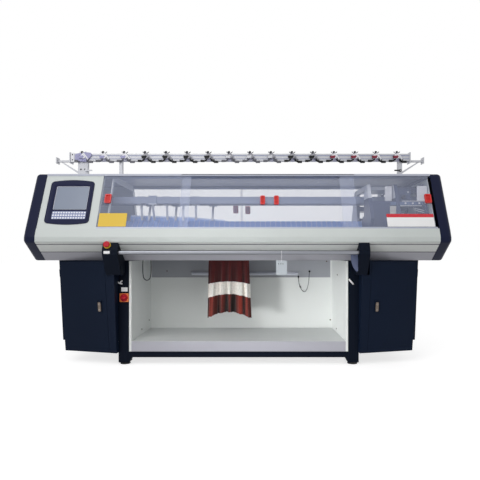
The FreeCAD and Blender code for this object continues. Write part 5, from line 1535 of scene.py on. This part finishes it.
@dataclass
class Fabric:
    """The knitted cloth: flat from the beds' mouth to the rollers' foot, then hanging in soft folds."""

    top_z: float = 1002.0
    fold_z: float = 716.0
    low_z: float = 276.0
    top_edges: Pair = (-236.0, 66.0)
    low_edges: Pair = (-250.0, 81.0)
    arch: float = 46.0
    thick: float = 2.4
    columns: int = 240
    rows: int = 150
    flat: Pair = (0.352, 0.742)
    waves: int = 5
    wave_mm: float = 18.0
    ripple_mm: float = 3.5
    hollow_mm: float = 20.0
    sway_mm: float = 4.0
    hem_mm: float = 1.6

    def surface(self) -> tuple[Array, Array]:
        """The cloth as a function of its own width and length. Down the cloth the share t goes from 0
        at the rollers' foot to 1 at the lower edge. Its edges run straight from the upper to the lower
        ones. Its folds are sines across, main waves and finer ripples, whose depth grows with t and
        whose phase drifts down the cloth; they sway sideways a little, and a hollow in the middle, a
        bell curve across, comes in past t = 0.45. The courses arch upwards in the middle by the arch
        times t, and the lower edge ripples by the hem.

        Returns:
            (rows, columns, 3) points and (rows, columns, 2) places on the flat cloth.
        """
        across = np.linspace(0, 1, self.columns)[None, :]
        drop = np.linspace(0, self.top_z - self.low_z, self.rows)[:, None]
        share = np.clip((drop - (self.top_z - self.fold_z)) / (self.fold_z - self.low_z), 0, 1)
        left = self.top_edges[0] + (self.low_edges[0] - self.top_edges[0]) * share
        right = self.top_edges[1] + (self.low_edges[1] - self.top_edges[1]) * share
        swell = share ** 0.6
        phase = 2 * math.pi * (across * self.waves + 0.1 * share)
        folds = self.wave_mm * np.sin(phase + 0.7 * np.sin(phase / 2.3))
        folds = folds + self.ripple_mm * np.sin(phase * 2.1 + 1.0)
        hollow = self.hollow_mm * np.exp(-((across - 0.5) / 0.16) ** 2) * np.clip(share * 2.2 - 1.0, 0, 1)
        x = left + (right - left) * across + self.sway_mm * swell * np.sin(2 * phase)
        y = swell * folds + hollow
        z = self.top_z - drop + self.arch * share * (1 - (2 * across - 1) ** 2)
        z = z + self.hem_mm * share * np.sin(phase * 3 + 0.5)
        points = np.stack(np.broadcast_arrays(x, y, z), axis=-1)
        fall = drop - (self.top_z - self.fold_z)
        place = np.stack(np.broadcast_arrays(across * self.flat[0] / METRE, fall), axis=-1)
        return points, place

    def build(self) -> None:
        """Makes the cloth and gives it its thickness."""
        points, place = self.surface()
        number = np.arange(self.rows * self.columns).reshape(self.rows, self.columns)
        quads = np.stack([number[:-1, :-1], number[1:, :-1], number[1:, 1:], number[:-1, 1:]], axis=-1)
        shape = Shape(points.reshape(-1, 3), [(quads.reshape(-1, 4), 0)])
        piece = build("knitted_cloth", shape, [KNIT], nodes=("knitted_fabric",), sharp=180,
                      cloth=place.reshape(-1, 2))
        wall = piece.modifiers.new("Thickness", "SOLIDIFY")
        wall.thickness = self.thick * METRE
        wall.offset = 0


# --- knitting zone


@dataclass
class KnittingZone:
    """Beds, needles, rails, carriers, carriage and the drive under the doors."""

    bed_half: float = 1240.0
    margin: float = 24.0
    tricks: int = 65
    raised_mm: float = 34.0
    half_tooth: float = 9.5
    tooth_tall: float = 9.0
    tufts: int = 22
    head_y: float = -198.0
    deck_y: float = -247.0
    cut_z: float = 1129.0

    def needles(self) -> Shape:
        """A needle in each trick of the front bed: a flat stem, a butt and a hook over the mouth. Every
        third one stands a little further up its trick, and at the left end, where the last rows were
        knitted, they are raised by up to 34 mm, less with the distance from there.

        Returns:
            The front bed's needles.
        """
        wide = (-1.6, 1.6)
        needle = join([
            block(wide, (-198, 1), (-4.8, -1.0)), block(wide, (-150, -138), (-2, 7)),
            block(wide, (-188, -180), (-2, 5)),
            tube([(0, 0, -3), (0, 4, -2.2), (0, 6.5, 0), (0, 5.6, 2.6), (0, 3, 3)], 1.3, 6),
        ])
        shapes = []
        end = self.bed_half - self.margin
        for n, x in enumerate(np.linspace(-end, end, self.tricks)):
            raised = self.raised_mm * np.interp(x, (-860, -820, -560, -100), (0, 1, 0.8, 0))
            shapes.append(needle.moved(x=x, y=2.0 * (n % 3) - 3.0 + raised * (0.6 + 0.4 * (n % 2))))
        return FRONT_BED.put(join(shapes))

    def comb(self) -> Shape:
        """The lifted comb behind the needles at the left end: a thin strip whose upper edge is a saw of
        19 mm teeth, 9 mm high, on a line that falls to the right.

        Returns:
            The strip and its teeth.
        """
        x = np.arange(-836.0, -110.0, self.half_tooth)
        line = np.interp(x, (-836, -384, -110), (1050, 1036, 1012))
        level = line + self.tooth_tall * (np.arange(len(x)) % 2)
        lip, upper, top = (np.stack([x, z], axis=1) for z in (np.full(len(x), 972.0), level - 11.0, level))
        strip = slab(np.concatenate([lip, upper[::-1]]), 43, 46, Axis.Y)
        teeth = slab(np.concatenate([upper, top[::-1]]), 42.5, 46.5, Axis.Y).tinted(1)
        return join([strip, teeth])

    def brush(self) -> Shape:
        """Bristle tufts under the carriage's brush box: narrow blocks that taper to their tips.

        Returns:
            The tufts.
        """
        shapes = []
        for x in 930 + 5.0 * np.arange(self.tufts):
            foot, tip = rectangle(x, x + 4, -252, -210), rectangle(x + 0.8, x + 3.2, -250, -214)
            shapes.append(stack(rings_of([foot, tip], [936, 918], Axis.Z)))
        return join(shapes)

    def carriage_trim(self) -> Shape:
        """On the carriage's deck and head: screws, two thin tubes, a holder, two pale plates, a band,
        edge strips and a knob.

        Returns:
            The trim, in five finishes.
        """
        screw = [(7, 0), (7, 4), (5.5, 5), (3, 5)]
        knob = [(6, 0), (6, 14), (16, 16), (16, 26), (13, 29), (4, 29)]
        deck = (self.deck_y - 0.5, -240.0)
        shapes = [turned(screw, 6, (x, self.deck_y, 1111), tint=2) for x in (1155, 1205, 1250, 1292)]
        shapes += [tube([(1206, -256, z), (1240, -259, z - 10), (1300, -257, z - 23)], 2.2, 6).tinted(2)
                   for z in (1078, 1065)]
        shapes += [
            panel((1046, 1092, 1032, 1092), 6, 3, -250, -209).tinted(3),
            panel((1030, 1078, 1127, 1238), 5, 3, -192, -188).tinted(2),
            panel((1236, 1306, 1127, 1232), 5, 3, -243, -239).tinted(2),
            panel((1052, 1296, 1100, 1120), 3, 2, -248, -245).tinted(4),
            *(turned(screw, 6, (x, self.head_y, 1195)) for x in (1112, 1190)),
            block((1130, 1290), deck, (1123, 1129)),
            block((1100, 1270), deck, (1091, 1097)),
            turned(knob, 20, (1152, self.head_y, 1160), tint=1),
        ]
        return join(shapes)

    def build(self) -> None:
        """Makes the knitting zone."""
        dress(BED_STEEL, "front_needle_bed", "rear_needle_bed")
        needles = self.needles()
        build("front_needles", needles, [NEEDLE_STEEL])
        build("rear_needles", needles.scaled(y=-1), [NEEDLE_STEEL])
        build("lifted_comb", self.comb(), [BED_STEEL, NEEDLE_STEEL])
        softened("bed_beam", BEAM_PAINT, 1.0)
        softened("carriage_rails", RAIL_STEEL, 1.0)
        for node in ("yarn_rails", "yarn_carrier_1", "yarn_carrier_2"):
            softened(node, RAIL_STEEL, 0.8, (CARRIER_STEEL, self.cut_z, lambda at: at[:, 2] < self.cut_z))
        softened("carriage", CARRIAGE_PAINT, 2.0,
                 (PALE_CARRIAGE_PAINT, 1150.0, lambda at: (at[:, 2] > 1150) & (at[:, 0] < 1092)))
        build("carriage_brush", self.brush(), [BRISTLE], body="carriage")
        finishes = [ALUMINIUM, BLACK_PLASTIC, WHITE_PLASTIC, CREAM_PLASTIC, DECK_PAINT]
        build("carriage_trim", self.carriage_trim(), finishes, body="carriage",
              bevel=0.4)
        dress(BELT_RUBBER, "drive_belt")
        dress(RAIL_STEEL, "drive_pulley", "idler_pulley")
        softened("drive_motor", FRAME_PAINT, 2.0)
        dress(ROLLER_RUBBER, "takedown_roller", "press_roller")


# --- yarn stand


class Fitting(Enum):
    """What colours a yarn device shows: its bracket's, its discs' and its rods' finish numbers."""

    PALE = (6, 1, 5)
    DARK = (0, 2, 2)
    GREY = (0, 4, 5)
    RED = (6, 7, 2)


@dataclass
class YarnStand:
    """The beam over the machine and its sixteen yarn devices."""

    first: float = 1169.0
    count: int = 16
    face: float = -20.0
    seat: float = -19.5
    disc_z: float = 1486.0
    pale: int = 3
    grey: tuple[int, ...] = (7, 8, 9)
    red: int = 4

    def hoop(self, middle: Pair, wide: float, tall: float, count: int) -> Array:
        """A ring of points in front of the face, whose last point is its first.

        Args:
            middle: X and Z of its middle.
            wide: its radius across.
            tall: its radius up.
            count: how many points it has.
        Returns:
            (count, 3) points.
        """
        turn = np.linspace(0, 2 * math.pi, count)
        x, z = middle[0] + wide * np.cos(turn), middle[1] + tall * np.sin(turn)
        return np.stack([x, np.full(count, self.face - 12.0), z], axis=1)

    def device(self, kind: Fitting) -> Shape:
        """One tension unit about X = 0: a bracket with cheeks and a tag, a pair of dished discs on a
        sprung pin, a strap across them, a black knob and two rods on top, a yarn eye and a ring, two
        feelers that lean out below to their feet, and a black stud.

        Args:
            kind: the colours it shows.
        Returns:
            The unit, in eight finishes.
        """
        bracket, disc, rod = kind.value
        face = self.face
        corners = [(-19, 1466), (17, 1462), (21, 1478), (14, 1500), (6, 1512), (-8, 1512), (-21, 1492)]
        discs = [(3, 0), (5, 0.5), (16.5, 2), (17, 2.6), (16.5, 3.2), (7, 4.6), (7, 5.4), (16.5, 6.8),
                 (17, 7.4), (16.5, 8), (6, 9.4), (6, 10.6), (3, 11.8)]
        pin = [(3, 8), (9.5, 10), (9.5, 14), (8, 15), (6, 20), (2, 20.6)]
        strap = [(-18, face - 12, 1516), (4, face - 14, 1508), (22, face - 14, 1486), (36, face - 10, 1464)]
        shapes = [
            slab(rounded(corners, 3, 2), face - 8, face, Axis.Y).tinted(bracket),
            block((-19, -13), (face - 15, face - 7), (1470, 1492)).tinted(bracket),
            block((12, 18), (face - 13, face - 7), (1474, 1488)).tinted(bracket),
            turned(discs, 18, (2, face - 8.8, self.disc_z), tint=bracket),
            turned(pin, 12, (2, face - 0.4, self.disc_z), tint=disc),
            turned([(3, 0), (8.5, 1), (9, 9), (6, 11)], 12, (-4, face - 8, 1516), tint=2),
            tube(strap, 5.5).tinted(bracket),
            panel((-30, 4, 1472, 1490), 4, 2, face - 20, face - 8).tinted(disc),
        ]
        for path, radius in (
            ([(-6, 1504), (-14, 1514), (-24, 1521)], 3.0), ([(4, 1504), (13, 1515), (22, 1521)], 3.0),
            ([(-10, 1470), (-18, 1460), (-32, 1453), (-46, 1453)], 6.0),
            ([(10, 1470), (22, 1458), (38, 1449), (52, 1447)], 6.5),
        ):
            shapes.append(tube([(x, face - 5, z) for x, z in path], radius, 6).tinted(rod))
        shapes += [
            block((-60, -34), (face - 13, face), (1445, 1460)).tinted(rod),
            block((40, 72), (face - 13, face), (1438, 1453)).tinted(rod),
            tube(self.hoop((3, 1457), 10, 9, 10), 1.8, 6).tinted(1),
            tube(self.hoop((33, 1460), 9, 9, 9), 2.4, 6).tinted(rod),
            turned([(3, 0), (9, 1), (9, 7), (6, 9)], 10, (-24, face - 8, 1484), tint=2),
        ]
        return join(shapes)

    def kind(self, number: int) -> Fitting:
        """Pale units at the left end, ones with red discs at the right end, dark ones between, and grey
        ones in the middle.

        Args:
            number: the unit's place in the row, from the left.
        Returns:
            Its colours.
        """
        if number < self.pale:
            return Fitting.PALE
        if number in self.grey:
            return Fitting.GREY
        return Fitting.RED if number >= self.count - self.red else Fitting.DARK

    def beam_trim(self) -> Shape:
        """The beam's two dark strips, which paint the shade in its T-slots, its bolts, and the cover and
        white plate at its left end.

        Returns:
            The trim, in four finishes.
        """
        # Painted shade: two thin dark strips stand in for the T-slots' shade.
        slot_shade_strips = [block((-1125, 1262), (-20.8, self.seat), z).tinted(1) for z in ((1468, 1472), (1491, 1496))]
        spots = [(x, self.face, z) for x in (-1250, -1222, -1150) for z in (1462, 1500)]
        spots += [(x, self.face + 5, 1392) for x in (-1190, -1160)]
        bolts = [turned([(5.5, 0), (5.5, 4), (4.5, 5), (2, 5)], 6, spot) for spot in spots]
        corners = [(-1228, 1452), (-1146, 1447), (-1104, 1496), (-1112, 1514), (-1170, 1519), (-1228, 1502)]
        cover = slab(rounded(corners, 8, 3), -31, self.seat, Axis.Y).tinted(2)
        plate = panel((-1262, -1238, 1446, 1514), 4, 3, -24, self.seat).tinted(3)
        return join([*slot_shade_strips, *bolts, cover, plate])

    def build(self) -> None:
        """Makes the stand."""
        softened("yarn_stand", ALUMINIUM, 1.5)
        softened("clamp_lever", BLACK_PLASTIC, 1.0)
        build("stand_trim", self.beam_trim(), [BLACK_PLASTIC, KEY_PLATE, LILAC_PLASTIC, WHITE_PLASTIC],
              bevel=0.6)
        places = np.linspace(-self.first, self.first, self.count)
        units = [self.device(self.kind(n)).moved(x=x) for n, x in enumerate(places)]
        finishes = [GREY_PLASTIC, LILAC_PLASTIC, BLACK_PLASTIC, STOP_RED, ALUMINIUM, SLATE_PLASTIC,
                    WHITE_PLASTIC, MAROON_PLASTIC]
        build("tension_units", join(units), finishes, nodes=("yarn_devices",))


def main() -> None:
    """Builds the studio, the cords, and each sub-assembly."""
    logging.basicConfig(level=logging.INFO, format="%(message)s")
    for part in (Studio(), Cords(), Housing(), Doors(), ControlPanel(), Controls(), Base(), Compartment(),
                 Fabric(), KnittingZone(), YarnStand()):
        LOG.info("-- %s", type(part).__name__)
        part.build()


if __name__ == "__main__":
    main()
